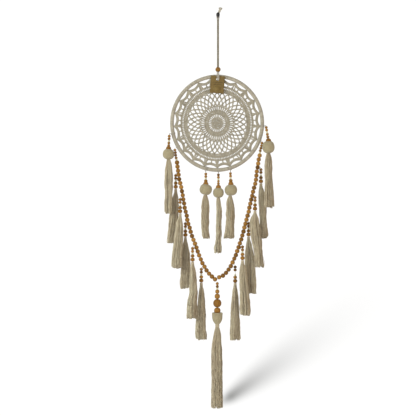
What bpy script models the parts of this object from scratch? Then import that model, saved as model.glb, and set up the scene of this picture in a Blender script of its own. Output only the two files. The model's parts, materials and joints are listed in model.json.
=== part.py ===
"""Dream catcher: a yarn-wrapped hoop with a crocheted web, a beaded garland, tassels and pom-poms.

The part hangs from a nail. The origin is the nail's centre, +Z is up, the web lies in the XZ plane
and -Y is the side that faces the room. Sizes below are millimetres; meshes are built in metres.
"""
import math

import bpy
from mathutils import Vector

MM = 0.001
NAME = "dream_catcher"

# ---------------------------------------------------------------- driving dimensions (mm)
GAP = 0.35                    # clearance left between pieces that touch
CORD_R = 1.3                  # hanging cord
THREAD_R = 0.9                # bead thread

NAIL_EYE_R = 3.2              # centreline of the loop's eye round the nail
LOOP_SPACING = CORD_R + 0.1   # each strand of the hanging loop lies this far off the centre
HANGER_BEAD_R = 6.0
HANGER_BEAD_DROP = 125.8      # nail to the centre of the hanger bead
HOOP_TOP_DROP = HANGER_BEAD_DROP + HANGER_BEAD_R + 10.0   # nail to the hoop's tube at its top

HOOP_HALF_WIDTH = 103.8       # tube centreline, across
HOOP_HALF_HEIGHT = 107.5      # tube centreline, up and down: the hoop sags a little oval
HOOP_SHIFT = -2.0             # hoop centre beside the nail
WRAP_R = 4.5                  # outside of the yarn wrapping
CORE_R = 1.8                  # ring inside the wrapping
WRAP_SLIT = 0.5               # half the gap at the top where the wrapping begins and ends, degrees

HITCH_R = WRAP_R + 4.5        # cord ring that ties hoop and tag together
HITCH_SPACING = CORD_R + GAP  # each of its two cords lies this far off the centre

TAG_WIDTH = 32.0
TAG_HEIGHT = 40.0
TAG_THICK = 1.0
TAG_HOLE_R = HITCH_SPACING + CORD_R + 1.25
TAG_DEPTH = WRAP_R + TAG_THICK / 2 + 0.66     # the tag's mid-plane in front of the hoop's
TAG_SHIFT = -0.6              # hole centre beside the nail
TAG_HOLE_BELOW_TOP = 7.8      # hole centre under the tag's top edge
TAG_TURN = 4.5                # degrees

WEB_THICK = 1.6
WEB_TIPS = 21
WEB_PHASE = -2.2              # degrees: no tip meets a tied thread
WEB_SCALLOP = 8.8             # depth of the edge between two tips
WEB_TIP_HALF = 0.06           # half width of a tip, in shares of a scallop

TIE_THICK = 0.9
TIE_R = WRAP_R + TIE_THICK + GAP + 0.2        # thread ring tied round the hoop

STRAND_BEAD_R = 5.0
STRAND_BEAD_PITCH = 2 * STRAND_BEAD_R - 0.45  # beads press against each other
SMALL_BEAD_R = 2.9
SPACER_R = 2.4
SPACER_LENGTH = 3.4

FRINGE_BEAD_R = 3.25
FRINGE_MIDDLE_R = 3.75
FRINGE_LAST_R = 4.5
TASSEL_NECK_R = 2.4
TASSEL_HALF_DEPTH = 6.0       # a tassel lies flatter than it is wide

DOME_R = 6.2                  # bead that sits in the top of a pom-pom
BORE_R = 1.5                  # thread hole through a pom-pom
BIG_BEAD_R = 9.75
CUP_BEAD_R = 7.4

HOOP_CENTRE_Z = -HOOP_TOP_DROP - HOOP_HALF_HEIGHT
HOOP_BOTTOM_Z = HOOP_CENTRE_Z - HOOP_HALF_HEIGHT
FRINGE_LAYER = STRAND_BEAD_R + FRINGE_BEAD_R + GAP
SIDE_LAYER = -6.0             # the two side drops hang a little in front of the hoop

# ---------------------------------------------------------------- colours (linear RGB, roughness)
YARN = ((0.37, 0.34, 0.28), 0.95)
WEB_YARN = ((0.36, 0.33, 0.27), 0.95)
TASSEL_YARN = ((0.36, 0.31, 0.22), 0.95)
POM_YARN = ((0.44, 0.40, 0.26), 0.95)
WOOD = ((0.40, 0.17, 0.045), 0.40)
KRAFT = ((0.25, 0.15, 0.045), 0.85)
STEEL = ((0.55, 0.55, 0.56), 0.35)


# ---------------------------------------------------------------- scene and shared makers
def clear_scene():
    for obj in list(bpy.data.objects):
        bpy.data.objects.remove(obj, do_unlink=True)


def new_collection(name):
    collection = bpy.data.collections.new(name)
    bpy.context.scene.collection.children.link(collection)
    return collection


def finish_piece(obj, name, look):
    """Name the object, give it its own material and put it in the part's collection."""
    colour, roughness = look
    material = bpy.data.materials.new(name)
    material.use_nodes = True
    shader = material.node_tree.nodes["Principled BSDF"]
    shader.inputs["Base Color"].default_value = (*colour, 1.0)
    shader.inputs["Roughness"].default_value = roughness
    shader.inputs["Metallic"].default_value = 1.0 if look is STEEL else 0.0
    obj.name = name
    obj.data.name = name
    obj.data.materials.clear()
    obj.data.materials.append(material)
    for collection in list(obj.users_collection):
        collection.objects.unlink(obj)
    PART.objects.link(obj)
    return obj


def add_tube(name, rings, look, resolution=2, caps=True, closed=False):
    """A tube on a poly line: rings are (point, radius) pairs in millimetres."""
    curve = bpy.data.curves.new(name, "CURVE")
    curve.dimensions = "3D"
    curve.bevel_depth = MM
    curve.bevel_resolution = resolution
    curve.use_fill_caps = caps
    spline = curve.splines.new("POLY")
    spline.points.add(len(rings) - 1)
    spline.use_cyclic_u = closed
    for point, (place, radius) in zip(spline.points, rings):
        point.co = (*(Vector(place) * MM), 1.0)
        point.radius = radius
    obj = bpy.data.objects.new(name, curve)
    bpy.context.scene.collection.objects.link(obj)
    return finish_piece(obj, name, look)


def add_turned(name, profile, centre, look, steps=14):
    """A turned piece: a closed profile of (radius, height) points spun about Z with Screw."""
    mesh = bpy.data.meshes.new(name)
    points = [(radius * MM, 0.0, height * MM) for radius, height in profile]
    count = len(points)
    mesh.from_pydata(points, [(i, (i + 1) % count) for i in range(count)], [])
    obj = bpy.data.objects.new(name, mesh)
    bpy.context.scene.collection.objects.link(obj)
    obj.location = Vector(centre) * MM
    screw = obj.modifiers.new("turn", "SCREW")
    screw.steps = screw.render_steps = steps
    screw.use_smooth_shade = True
    screw.use_merge_vertices = False
    screw.merge_threshold = 0.00001
    return finish_piece(obj, name, look)


def add_loft(name, sections, look, sides=8):
    """A closed loft through level ellipses: sections are (x, y, z, half width, half depth)."""
    points, faces = [], []
    for x, y, z, half_width, half_depth in sections:
        for k in range(sides):
            angle = math.tau * k / sides
            points.append(((x + half_width * math.cos(angle)) * MM,
                           (y + half_depth * math.sin(angle)) * MM, z * MM))
    for level in range(len(sections) - 1):
        upper, lower = level * sides, (level + 1) * sides
        for k in range(sides):
            after = (k + 1) % sides
            faces.append((upper + k, lower + k, lower + after, upper + after))
    last = (len(sections) - 1) * sides
    faces.append(tuple(range(sides)))
    faces.append(tuple(last + k for k in reversed(range(sides))))
    mesh = bpy.data.meshes.new(name)
    mesh.from_pydata(points, [], faces)
    mesh.shade_smooth()
    obj = bpy.data.objects.new(name, mesh)
    bpy.context.scene.collection.objects.link(obj)
    return finish_piece(obj, name, look)


def smooth_route(points, per_span=8):
    """A smooth curve through hand-set points (Catmull-Rom), as a dense list of points."""
    route = [Vector(p) for p in points]
    ends = [route[0] * 2 - route[1]] + route + [route[-1] * 2 - route[-2]]
    dense = []
    for a, b, c, d in zip(ends, ends[1:], ends[2:], ends[3:]):
        for k in range(per_span):
            t = k / per_span
            dense.append(0.5 * (2 * b + (c - a) * t + (2 * a - 5 * b + 4 * c - d) * t ** 2
                                + (3 * b - a - 3 * c + d) * t ** 3))
    return dense + [route[-1]]


def walk(route, distance):
    """The point a given distance along a dense route; past its end it goes straight on."""
    for here, there in zip(route, route[1:]):
        step = (there - here).length
        if distance <= step:
            return here.lerp(there, distance / step)
        distance -= step
    return route[-1] + (route[-1] - route[-2]).normalized() * distance


def length_of(route):
    return sum((b - a).length for a, b in zip(route, route[1:]))


def bead_rings(route, start, length, radius, thread=THREAD_R):
    """Rings that swell one bead on its thread, from its upper pole to just before its lower one."""
    middle = start + length / 2
    return [(walk(route, start), max(thread, radius * 0.39)),
            (walk(route, middle - length * 0.2), radius * 0.917),
            (walk(route, middle + length * 0.2), radius * 0.917)]


# ---------------------------------------------------------------- hoop geometry
def hoop_point(angle_deg):
    """Centre of the hoop's tube at an angle, 0 at +X and 90 at the top."""
    angle = math.radians(angle_deg)
    return Vector((HOOP_SHIFT + HOOP_HALF_WIDTH * math.cos(angle), 0.0,
                   HOOP_CENTRE_Z + HOOP_HALF_HEIGHT * math.sin(angle)))


def hoop_outward(angle_deg):
    """Unit vector from the tube's centre away from the hoop."""
    angle = math.radians(angle_deg)
    return Vector((math.cos(angle) / HOOP_HALF_WIDTH, 0.0,
                   math.sin(angle) / HOOP_HALF_HEIGHT)).normalized()


# ---------------------------------------------------------------- hanging loop, knot and bead
def make_hanging_loop():
    foot = -HANGER_BEAD_DROP - HANGER_BEAD_R + 0.2
    spread = 4 * NAIL_EYE_R
    side = [((LOOP_SPACING, 0, foot), CORD_R), ((LOOP_SPACING, 0, -spread), CORD_R)]
    blend = 4
    for k in range(1, blend):
        t = k / blend
        ease = t * t * (3 - 2 * t)
        x = LOOP_SPACING + (NAIL_EYE_R - LOOP_SPACING) * ease
        side.append(((x, 0, -spread * (1 - t)), CORD_R))
    turns = [math.pi * k / 8 for k in range(9)]
    arc = [((NAIL_EYE_R * math.cos(a), 0, NAIL_EYE_R * math.sin(a)), CORD_R) for a in turns]
    other = [((-x, y, z), r) for (x, y, z), r in reversed(side)]
    add_tube("hanging_loop", side + arc + other, YARN)


def make_loop_knot():
    """The knot behind the nail's head with its short flared tail; it stays clear of the eye."""
    clear = NAIL_EYE_R + CORD_R
    rings = [((1.2, 1.6, clear + 2.3), 1.2), ((2.2, 2.0, clear + 3.3), 2.2),
             ((4.0, 2.2, clear + 5.0), 2.3), ((5.2, 2.0, clear + 6.3), 1.3),
             ((8.2, 1.4, clear + 8.9), 1.3), ((10.6, 1.0, clear + 11.2), 2.0)]
    add_tube("loop_knot", rings, YARN)


def bored_bead_profile(radius, bore, arc_steps=6):
    """Closed profile of a round bead with a straight bore, outer side first, top to bottom."""
    top = math.asin(bore / radius)
    arc = [top + (math.pi - 2 * top) * k / arc_steps for k in range(arc_steps + 1)]
    return [(radius * math.sin(a), radius * math.cos(a)) for a in arc]


def make_hanger_bead():
    bore = LOOP_SPACING + CORD_R + 0.5
    add_turned("hanger_bead", bored_bead_profile(HANGER_BEAD_R, bore), (0, 0, -HANGER_BEAD_DROP), WOOD, 16)


def make_cord_hitch():
    """Two cords side by side: each comes out under the bead and rings the hoop's tube."""
    start = -HANGER_BEAD_DROP - HANGER_BEAD_R - GAP
    for name, side in (("cord_hitch_left", -1), ("cord_hitch_right", 1)):
        x = side * HITCH_SPACING
        rings = [((x, 0.0, start), CORD_R), ((x, -0.25, start - CORD_R), CORD_R),
                 ((x, -2.8, start - 1.7 * CORD_R), CORD_R)]
        for k in range(17):
            angle = math.radians(40 + 280 * k / 16)
            rings.append(((x, -HITCH_R * math.sin(angle),
                           -HOOP_TOP_DROP + HITCH_R * math.cos(angle)), CORD_R))
        add_tube(name, rings, YARN)


# ---------------------------------------------------------------- hoop
def make_hoop():
    """A steel ring inside a hollow yarn wrapping, which is slit under the hitch."""
    stations = 40
    span = 360 - 2 * WRAP_SLIT
    path = [hoop_point(90 + WRAP_SLIT + span * k / stations) for k in range(stations + 1)]
    add_tube("hoop_ring", [(p, CORE_R) for p in path], STEEL, resolution=1, caps=False, closed=True)
    wrap = add_tube("hoop_wrap", [(p, WRAP_R) for p in path], YARN, caps=False)
    shell = wrap.modifiers.new("wall", "SOLIDIFY")
    shell.thickness = (WRAP_R - CORE_R - GAP) * MM
    shell.offset = -1.0


# ---------------------------------------------------------------- crocheted web
def web_edge():
    """Outline of the web: narrow tips that reach the hoop, and round scallops between them."""
    inner_width = HOOP_HALF_WIDTH - WRAP_R - GAP
    inner_height = HOOP_HALF_HEIGHT - WRAP_R - GAP
    shares = [WEB_TIP_HALF, 0.18, 0.32, 0.5, 0.68, 0.82, 1 - WEB_TIP_HALF]
    outline = []
    for tip in range(WEB_TIPS):
        for share in shares:
            angle = math.radians(90 + WEB_PHASE + 360 * (tip + share - 0.5) / WEB_TIPS)
            is_tip = share in (WEB_TIP_HALF, 1 - WEB_TIP_HALF)
            depth = 0.0 if is_tip else WEB_SCALLOP * math.sin(math.pi * share) ** 0.8
            outline.append(((inner_width - depth) * math.cos(angle),
                            (inner_height - depth) * math.sin(angle)))
    return outline


def web_openings():
    """Openings in rings: (share of the web's radius in and out, count, share open, turn)."""
    rings = [(0.135, 0.18, 12, 0.5, 0.0), (0.275, 0.37, 18, 0.6, 0.0), (0.40, 0.49, 18, 0.62, 0.5),
             (0.50, 0.59, 18, 0.62, 0.0), (0.60, 0.685, 18, 0.62, 0.5), (0.835, 0.90, 21, 0.62, 0.5)]
    reach_x = HOOP_HALF_WIDTH - WRAP_R
    reach_z = HOOP_HALF_HEIGHT - WRAP_R
    holes = []
    for inner, outer, count, width, turn in rings:
        middle = (inner + outer) / 2
        for k in range(count):
            angle = math.radians(90 + WEB_PHASE) + math.tau * (k + turn) / count
            half = math.pi * width / count
            corners = [(inner, angle), (middle, angle + half), (outer, angle), (middle, angle - half)]
            holes.append([(reach_x * r * math.cos(a), reach_z * r * math.sin(a)) for r, a in corners])
    return holes


def make_web():
    """A flat plate cut through with openings, stood up in the plane of the hoop."""
    curve = bpy.data.curves.new("web", "CURVE")
    curve.dimensions = "2D"
    curve.fill_mode = "BOTH"
    curve.extrude = WEB_THICK / 2 * MM
    for outline in [web_edge()] + web_openings():
        spline = curve.splines.new("POLY")
        spline.points.add(len(outline) - 1)
        spline.use_cyclic_u = True
        for point, (x, z) in zip(spline.points, outline):
            point.co = (x * MM, z * MM, 0.0, 1.0)
    obj = bpy.data.objects.new("web", curve)
    bpy.context.scene.collection.objects.link(obj)
    obj.location = Vector((HOOP_SHIFT, 0, HOOP_CENTRE_Z)) * MM
    obj.rotation_euler = (math.pi / 2, 0, 0)
    finish_piece(obj, "web", WEB_YARN)


# ---------------------------------------------------------------- tag
def make_hang_tag():
    """A card with a round hole; the hitch ring passes through the hole."""
    below = math.sqrt(HITCH_R ** 2 - TAG_DEPTH ** 2)
    curve = bpy.data.curves.new("hang_tag", "CURVE")
    curve.dimensions = "2D"
    curve.fill_mode = "BOTH"
    curve.extrude = TAG_THICK / 2 * MM
    left, right = -TAG_WIDTH / 2, TAG_WIDTH / 2
    top, bottom = TAG_HOLE_BELOW_TOP, TAG_HOLE_BELOW_TOP - TAG_HEIGHT
    card = [(left, bottom), (right, bottom), (right, top), (left, top)]
    hole = [(TAG_HOLE_R * math.cos(math.tau * k / 12), TAG_HOLE_R * math.sin(math.tau * k / 12))
            for k in range(12)]
    for outline in (card, hole):
        spline = curve.splines.new("POLY")
        spline.points.add(len(outline) - 1)
        spline.use_cyclic_u = True
        for point, (x, z) in zip(spline.points, outline):
            point.co = (x * MM, z * MM, 0.0, 1.0)
    obj = bpy.data.objects.new("hang_tag", curve)
    bpy.context.scene.collection.objects.link(obj)
    obj.location = Vector((TAG_SHIFT, -TAG_DEPTH, -HOOP_TOP_DROP - below)) * MM
    obj.rotation_euler = (math.pi / 2, math.radians(TAG_TURN), 0)
    finish_piece(obj, "hang_tag", KRAFT)


# ---------------------------------------------------------------- ties round the hoop
def make_tie(name, angle_deg):
    """A ring of thread tied round the hoop at an angle, square to the tube."""
    bpy.ops.mesh.primitive_torus_add(major_radius=TIE_R * MM, minor_radius=TIE_THICK * MM,
                                     major_segments=12, minor_segments=5)
    ring = bpy.context.active_object
    outward = hoop_outward(angle_deg)
    along = Vector((-outward.z, 0.0, outward.x))
    ring.location = hoop_point(angle_deg) * MM
    ring.rotation_euler = along.to_track_quat("Z", "Y").to_euler()
    finish_piece(ring, name, YARN)


def tie_reach():
    """How far from the tube's centre the next thread may begin."""
    return TIE_R + TIE_THICK + GAP + THREAD_R


# ---------------------------------------------------------------- tassels and pom-poms
def make_tassel(name, x, y, top, bottom, widths, lean=0.0, half_depth=TASSEL_HALF_DEPTH):
    """A bound neck that opens into a flat skirt of yarn: widths are half widths down the skirt."""
    length = top - bottom
    shares = [0.0, 0.06, 0.16, 0.42, 0.75, 1.0]
    halves = [TASSEL_NECK_R, TASSEL_NECK_R] + list(widths)
    sections = []
    for share, half in zip(shares, halves):
        depth = TASSEL_NECK_R + (half_depth - TASSEL_NECK_R) * min(1.0, share / 0.4)
        sections.append((x + lean * share ** 1.5, y, top - length * share, half, depth))
    add_loft(name, sections, TASSEL_YARN)


def pompom_profile(half_width, half_height, seat_height, seat_r):
    """Closed profile of a pom-pom with a round seat in its top and a thread bore down its axis."""
    socket = seat_r + GAP
    steps = 180
    rim = 0
    while rim < steps:
        angle = math.pi * rim / (2 * steps)
        x, z = half_width * math.sin(angle), half_height * math.cos(angle)
        if math.hypot(x, z - seat_height) >= socket:
            break
        rim += 1
    start = math.pi * rim / (2 * steps)
    end = math.pi - math.asin(BORE_R / half_width)
    outer = [start + (end - start) * k / 6 for k in range(7)]
    profile = [(half_width * math.sin(a), half_height * math.cos(a)) for a in outer]
    low = math.asin(BORE_R / socket)
    high = math.acos(max(-1.0, min(1.0, (seat_height - profile[0][1]) / socket)))
    for k in range(3):
        angle = low + (high - low) * k / 3
        profile.append((socket * math.sin(angle), seat_height - socket * math.cos(angle)))
    return profile


def make_drop(side, origin, start, foot, beads, dome, pom, skirt):
    """One drop: a beaded stem, a pom-pom that its dome bead sits in, and the tassel under it.

    Depths and sideways distances count from origin. foot is the x where its beads hang, beads are
    (depth, radius), pom is (sideways, y, depth, half width, half height) and skirt is (depth of its
    end, half widths, lean).
    """
    beside, y, pom_depth, half_width, half_height = pom
    x, z = origin.x + beside, origin.z - pom_depth
    skirt_depth, widths, lean = skirt
    dome_z = origin.z - dome
    lean_in = Vector((x - foot, 0, 0))
    rings = [(start, THREAD_R)]
    for depth, radius in beads + [(dome, DOME_R)]:
        share = (depth - beads[0][0]) / (dome - beads[0][0])
        place = Vector((foot, y, origin.z - depth)) + lean_in * share
        length = 2 * radius if radius != SPACER_R else SPACER_LENGTH
        for height, scale in ((0.5, 0.39), (0.2, 0.917), (-0.2, 0.917)):
            rings.append((place + Vector((0, 0, length * height)), max(THREAD_R, radius * scale)))
    rings.append((Vector((x, y, dome_z - DOME_R - 0.2)), THREAD_R))
    rings.append((Vector((x, y, z - half_height + 0.6)), THREAD_R))
    add_tube(f"drop_{side}_stem", rings, WOOD, resolution=1)
    profile = pompom_profile(half_width, half_height, dome_z - z, DOME_R)
    add_turned(f"drop_{side}_pompom", profile, (x, y, z), POM_YARN, 12)
    make_tassel(f"drop_{side}_tassel", x, y, z - half_height - GAP, origin.z - skirt_depth, widths, lean)


# each drop: angle of its tie between two tips of the web, beads, dome bead's depth, pom-pom, skirt
BOTTOM_DROPS = {
    "bottom_left": (255.437, [(4.39, 2.9), (10.29, 2.9), (14.99, SPACER_R), (20.59, 3.7)],
                    28.29, (0.0, 0.0, 39.99, 13.9, 12.9), (154.39, [6.8, 8.6, 9.4, 8.2], 2.0)),
    "bottom_middle": (271.601, [(3.04, 2.9), (8.94, 2.9), (13.54, SPACER_R), (17.94, 2.7), (23.54, 2.9)],
                      32.34, (0.0, 0.0, 44.34, 12.2, 11.6), (184.14, [5.4, 6.0, 6.4, 9.2], 0.5)),
    "bottom_right": (287.145, [(4.86, 2.9), (10.76, 2.9), (15.46, SPACER_R), (21.26, 3.8)],
                     29.56, (1.0, 0.0, 42.76, 14.0, 13.2), (155.36, [6.6, 10.6, 11.6, 12.2], -2.6)),
}


def make_bottom_drops():
    """Three drops hang straight down from the hoop's lower edge."""
    for side, (angle, beads, dome, pom, skirt) in BOTTOM_DROPS.items():
        make_tie(f"tie_{side}", angle)
        start = hoop_point(angle) - Vector((0, 0, tie_reach()))
        make_drop(side, start, start, start.x, beads, dome, pom, skirt)


# angle of the tie, side of the hoop, how much further out than the thread the beads and pom-pom hang
SIDE_DROPS = {
    "side_left": (192.7, -1, 0.74, [(6.6, 3.0), (12.7, 3.0), (17.5, SPACER_R), (22.2, 2.9), (28.1, 3.0)],
                  35.7, (2.34, SIDE_LAYER, 47.7, 13.0, 12.1), (186.1, [6.6, 8.2, 8.2, 7.6], 0.0)),
    "side_right": (356.9, 1, 0.95, [(4.3, 3.0), (10.4, 3.0), (15.2, SPACER_R), (20.1, 3.0), (26.2, 3.1)],
                   35.3, (6.15, SIDE_LAYER, 49.3, 14.0, 14.4), (190.9, [7.4, 8.3, 9.2, 10.6], 1.6)),
}


def make_side_drops():
    """One drop at each side of the hoop: its thread comes off the tie towards the room."""
    for side, (angle, sign, beads_out, beads, dome, pom, skirt) in SIDE_DROPS.items():
        make_tie(f"tie_{side}", angle)
        tied = hoop_point(angle)
        reach = tie_reach() - 0.1
        start = tied + Vector((sign * reach, SIDE_LAYER + 1.0, 0.0))
        placed = (sign * (reach + pom[0]),) + pom[1:]
        make_drop(side, tied, start, tied.x + sign * (reach + beads_out), beads, dome, placed, skirt)


# ---------------------------------------------------------------- garland
GARLAND_TIES = {"left": 210.0, "right": 338.7}      # angles on the hoop
GARLAND_FOOT = {"left": (-1.2, 254.4), "right": (1.1, 247.9)}   # beside and under the hoop's bottom
# each strand's route as shares of the way from its tie to its foot: (across, down)
GARLAND_SHAPE = {
    "left": [(1.0, 0.0), (0.994, 0.022), (0.972, 0.068), (0.942, 0.126), (0.906, 0.221),
             (0.844, 0.306), (0.795, 0.397), (0.716, 0.518), (0.624, 0.636), (0.488, 0.753),
             (0.345, 0.867), (0.188, 0.949), (0.086, 0.982), (0.0, 1.0)],
    "right": [(1.0, 0.0), (0.985, 0.020), (0.966, 0.052), (0.948, 0.072), (0.917, 0.131),
              (0.884, 0.201), (0.842, 0.297), (0.774, 0.389), (0.713, 0.481), (0.648, 0.576),
              (0.577, 0.662), (0.470, 0.778), (0.370, 0.863), (0.245, 0.943), (0.115, 0.985), (0.0, 1.0)],
}


def garland_tie(side):
    """Where a strand's thread begins, just off its tie ring."""
    angle = GARLAND_TIES[side]
    return hoop_point(angle) + hoop_outward(angle) * (tie_reach() + 0.1)


def garland_route(side):
    top = garland_tie(side)
    foot_x = HOOP_SHIFT + GARLAND_FOOT[side][0]
    foot_z = HOOP_BOTTOM_Z - GARLAND_FOOT[side][1]
    points = [Vector((foot_x + (top.x - foot_x) * across, 0.0, top.z + (foot_z - top.z) * down))
              for across, down in GARLAND_SHAPE[side]]
    return smooth_route(points)


def garland_at(side, down):
    """The point of a strand's centreline at a share of its drop."""
    route = garland_route(side)
    level = route[0].z + (route[-1].z - route[0].z) * down
    for here, there in zip(route, route[1:]):
        if there.z <= level:
            return here.lerp(there, (here.z - level) / (here.z - there.z))
    return route[-1]


def make_garland_strand(side):
    """A thread of small beads, one spacer, then round beads touching each other down to the foot."""
    route = garland_route(side)
    rings = [(route[0], THREAD_R)]
    place = 1.2
    for _ in range(4):
        rings += bead_rings(route, place, 2 * SMALL_BEAD_R, SMALL_BEAD_R)
        place += 2 * SMALL_BEAD_R
    rings += bead_rings(route, place, SPACER_LENGTH, SPACER_R)
    place += SPACER_LENGTH
    room = length_of(route) - place
    count = round(room / STRAND_BEAD_PITCH)
    pitch = room / count
    for _ in range(count):
        rings += bead_rings(route, place, pitch, STRAND_BEAD_R)
        place += pitch
    rings.append((route[-1], STRAND_BEAD_R * 0.39))
    add_tube(f"garland_{side}", rings, WOOD, resolution=1)


# fringe drops: share down the strand, outward offset, bare thread, tassel length, lean of the skirt
FRINGE = {
    "left": [(0.192, 6.2, 0.5, 127.5, -9.5), (0.374, 6.3, 1.5, 128.0, -7.0),
             (0.557, 5.9, 0.5, 120.0, -1.0), (0.743, 7.2, 0.0, 132.0, -2.7), (0.903, 8.1, 0.4, 132.7, 1.3)],
    "right": [(0.193, 8.3, 1.3, 127.5, 6.9), (0.399, 6.5, 0.0, 131.0, 10.2),
              (0.589, 5.5, 0.0, 132.0, 5.5), (0.760, 6.6, 0.0, 128.0, 6.2), (0.910, 9.3, 6.5, 133.0, 3.0)],
}
FRINGE_WIDTHS = [6.0, 8.6, 10.2, 11.8]
FRINGE_BEADS = [(FRINGE_BEAD_R, 2 * FRINGE_BEAD_R), (FRINGE_BEAD_R, 2 * FRINGE_BEAD_R),
                (SPACER_R, SPACER_LENGTH), (FRINGE_MIDDLE_R, 2 * FRINGE_MIDDLE_R),
                (FRINGE_LAST_R, 2 * FRINGE_LAST_R)]
FRINGE_THREAD_TOP = 1.6       # thread over the first bead


def make_fringe(side):
    """Short beaded stems with tassels, hung in turn behind and in front of the strand."""
    sign = -1 if side == "left" else 1
    for number, (down, offset, bare, skirt, lean) in enumerate(FRINGE[side], start=1):
        layer = FRINGE_LAYER if number % 2 else -FRINGE_LAYER
        tied = garland_at(side, down)
        pivot = Vector((tied.x + sign * offset, layer, tied.z))
        start = tied + (pivot - tied).normalized() * (STRAND_BEAD_R + GAP + THREAD_R)
        route = [pivot, pivot - Vector((0, 0, 400))]
        rings = [(start, THREAD_R), (walk(route, FRINGE_THREAD_TOP / 4), THREAD_R)]
        place = FRINGE_THREAD_TOP
        for radius, length in FRINGE_BEADS:
            if radius == SPACER_R:
                place += bare
            rings += bead_rings(route, place, length, radius)
            place += length
        rings.append((walk(route, place), FRINGE_LAST_R * 0.39))
        add_tube(f"fringe_{side}_{number}_stem", rings, WOOD, resolution=1)
        top = pivot.z - place - GAP
        make_tassel(f"fringe_{side}_{number}_tassel", pivot.x, layer, top, top - skirt,
                    FRINGE_WIDTHS, lean)


# ---------------------------------------------------------------- pendant
PENDANT_X = HOOP_SHIFT + 0.4
PENDANT_TOP = HOOP_BOTTOM_Z - GARLAND_FOOT["left"][1] - STRAND_BEAD_R * 0.39 - GAP - THREAD_R
PENDANT_BEADS = [(3.25, 6.5), (3.25, 6.5), (SPACER_R, SPACER_LENGTH), (4.75, 9.5), (6.2, 12.4)]
PENDANT_POM = (12.0, 13.8)
PENDANT_TASSEL = (195.0, [8.4, 11.2, 12.0, 14.4])


def make_pendant():
    """The middle drop: beads that grow to a big one, a cup bead sunk in a long pom-pom, a tassel."""
    route = [Vector((PENDANT_X, 0, PENDANT_TOP)), Vector((PENDANT_X, 0, PENDANT_TOP - 400))]
    place = 0.6
    rings = [(walk(route, 0.0), THREAD_R)]
    for radius, length in PENDANT_BEADS:
        rings += bead_rings(route, place, length, radius)
        place += length
    rings.append((walk(route, place - 0.3), 2.4))
    rings.append((walk(route, place - 0.2), THREAD_R))
    big_z = PENDANT_TOP - place - GAP - BIG_BEAD_R + 0.2
    cup_z = big_z - BIG_BEAD_R - CUP_BEAD_R - GAP + 0.3
    half_width, half_height = PENDANT_POM
    pom_z = cup_z - half_height - 3.6
    tassel_top = pom_z - half_height - GAP
    rings.append((Vector((PENDANT_X, 0, pom_z - half_height + 0.6)), THREAD_R))
    add_tube("pendant_stem", rings, WOOD)
    add_turned("pendant_big_bead", bored_bead_profile(BIG_BEAD_R, BORE_R), (PENDANT_X, 0, big_z), WOOD, 16)
    add_turned("pendant_cup_bead", bored_bead_profile(CUP_BEAD_R, BORE_R), (PENDANT_X, 0, cup_z), WOOD, 14)
    profile = pompom_profile(half_width, half_height, cup_z - pom_z, CUP_BEAD_R)
    add_turned("pendant_pompom", profile, (PENDANT_X, 0, pom_z), POM_YARN, 12)
    length, widths = PENDANT_TASSEL
    make_tassel("pendant_tassel", PENDANT_X, 0.0, tassel_top, tassel_top - length, widths, 0.4, 8.0)


# ---------------------------------------------------------------- assembly
clear_scene()
PART = new_collection(NAME)
make_loop_knot()
make_hanging_loop()
make_hanger_bead()
make_cord_hitch()
make_hoop()
make_web()
make_hang_tag()
make_bottom_drops()
make_side_drops()
for strand_side, tie_angle in GARLAND_TIES.items():
    make_tie(f"tie_garland_{strand_side}", tie_angle)
    make_garland_strand(strand_side)
    make_fringe(strand_side)
make_pendant()
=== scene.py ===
"""Dream catcher: looks, in the order in which it is made: cord, beads, hoop, web, tag, drops, garland.

Sizes are metres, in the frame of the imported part: the nail is the origin, -Y faces the room, +Z is up.
"""
import json
import math

import bpy
import numpy as np
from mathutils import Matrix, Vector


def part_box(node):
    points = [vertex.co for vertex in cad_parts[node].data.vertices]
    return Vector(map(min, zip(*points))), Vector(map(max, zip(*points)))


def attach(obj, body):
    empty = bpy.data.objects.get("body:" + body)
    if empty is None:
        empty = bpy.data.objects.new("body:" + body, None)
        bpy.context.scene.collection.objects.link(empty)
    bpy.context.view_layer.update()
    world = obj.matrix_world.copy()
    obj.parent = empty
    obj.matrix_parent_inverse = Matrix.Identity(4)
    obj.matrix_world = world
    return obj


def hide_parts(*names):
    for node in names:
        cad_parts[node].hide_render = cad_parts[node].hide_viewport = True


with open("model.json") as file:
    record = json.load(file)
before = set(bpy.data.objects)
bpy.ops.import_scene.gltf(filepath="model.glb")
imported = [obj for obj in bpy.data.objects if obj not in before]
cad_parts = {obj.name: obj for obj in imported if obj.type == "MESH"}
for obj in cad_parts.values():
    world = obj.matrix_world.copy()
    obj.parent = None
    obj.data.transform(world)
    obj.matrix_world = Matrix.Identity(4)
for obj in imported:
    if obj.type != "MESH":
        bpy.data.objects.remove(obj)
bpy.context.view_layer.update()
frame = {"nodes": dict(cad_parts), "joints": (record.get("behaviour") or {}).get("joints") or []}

MM = 0.001
joint_place = {j["name"]: np.array(j["pos_m"]) for j in frame["joints"] if "pos_m" in j}

# ------------------------ camera, light and room
# The piece hangs in front of a white wall, lit by a big soft window on its left; the room's warm
# furniture throws a little brown light back from the right.
VIEW_CENTRE = (-0.0230, 0.0, -0.4443)
VIEW_SIDE = 0.9568            # width of the view at the hoop
VIEW_DISTANCE = 3.0
SENSOR = 36.0
ROOM_HALF, ROOM_FLOOR, ROOM_TOP = 3.6, -1.35, 2.0
WALL_BACK = 0.9               # far enough for every swing
WALL_GLOW = 0.86
ROOM_LIGHT = 0.62             # strength of the light from all round
# The painted shadow on the wall: its foot, its rise, and its width, spread, length and depth.
SHADE_FOOT = (0.020, WALL_BACK, -1.025)
SHADE_RISE = 35.0             # degrees
SHADE_WIDTH, SHADE_SPREAD, SHADE_LENGTH, SHADE_DEPTH = 0.015, 0.16, 0.19, 0.95


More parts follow.
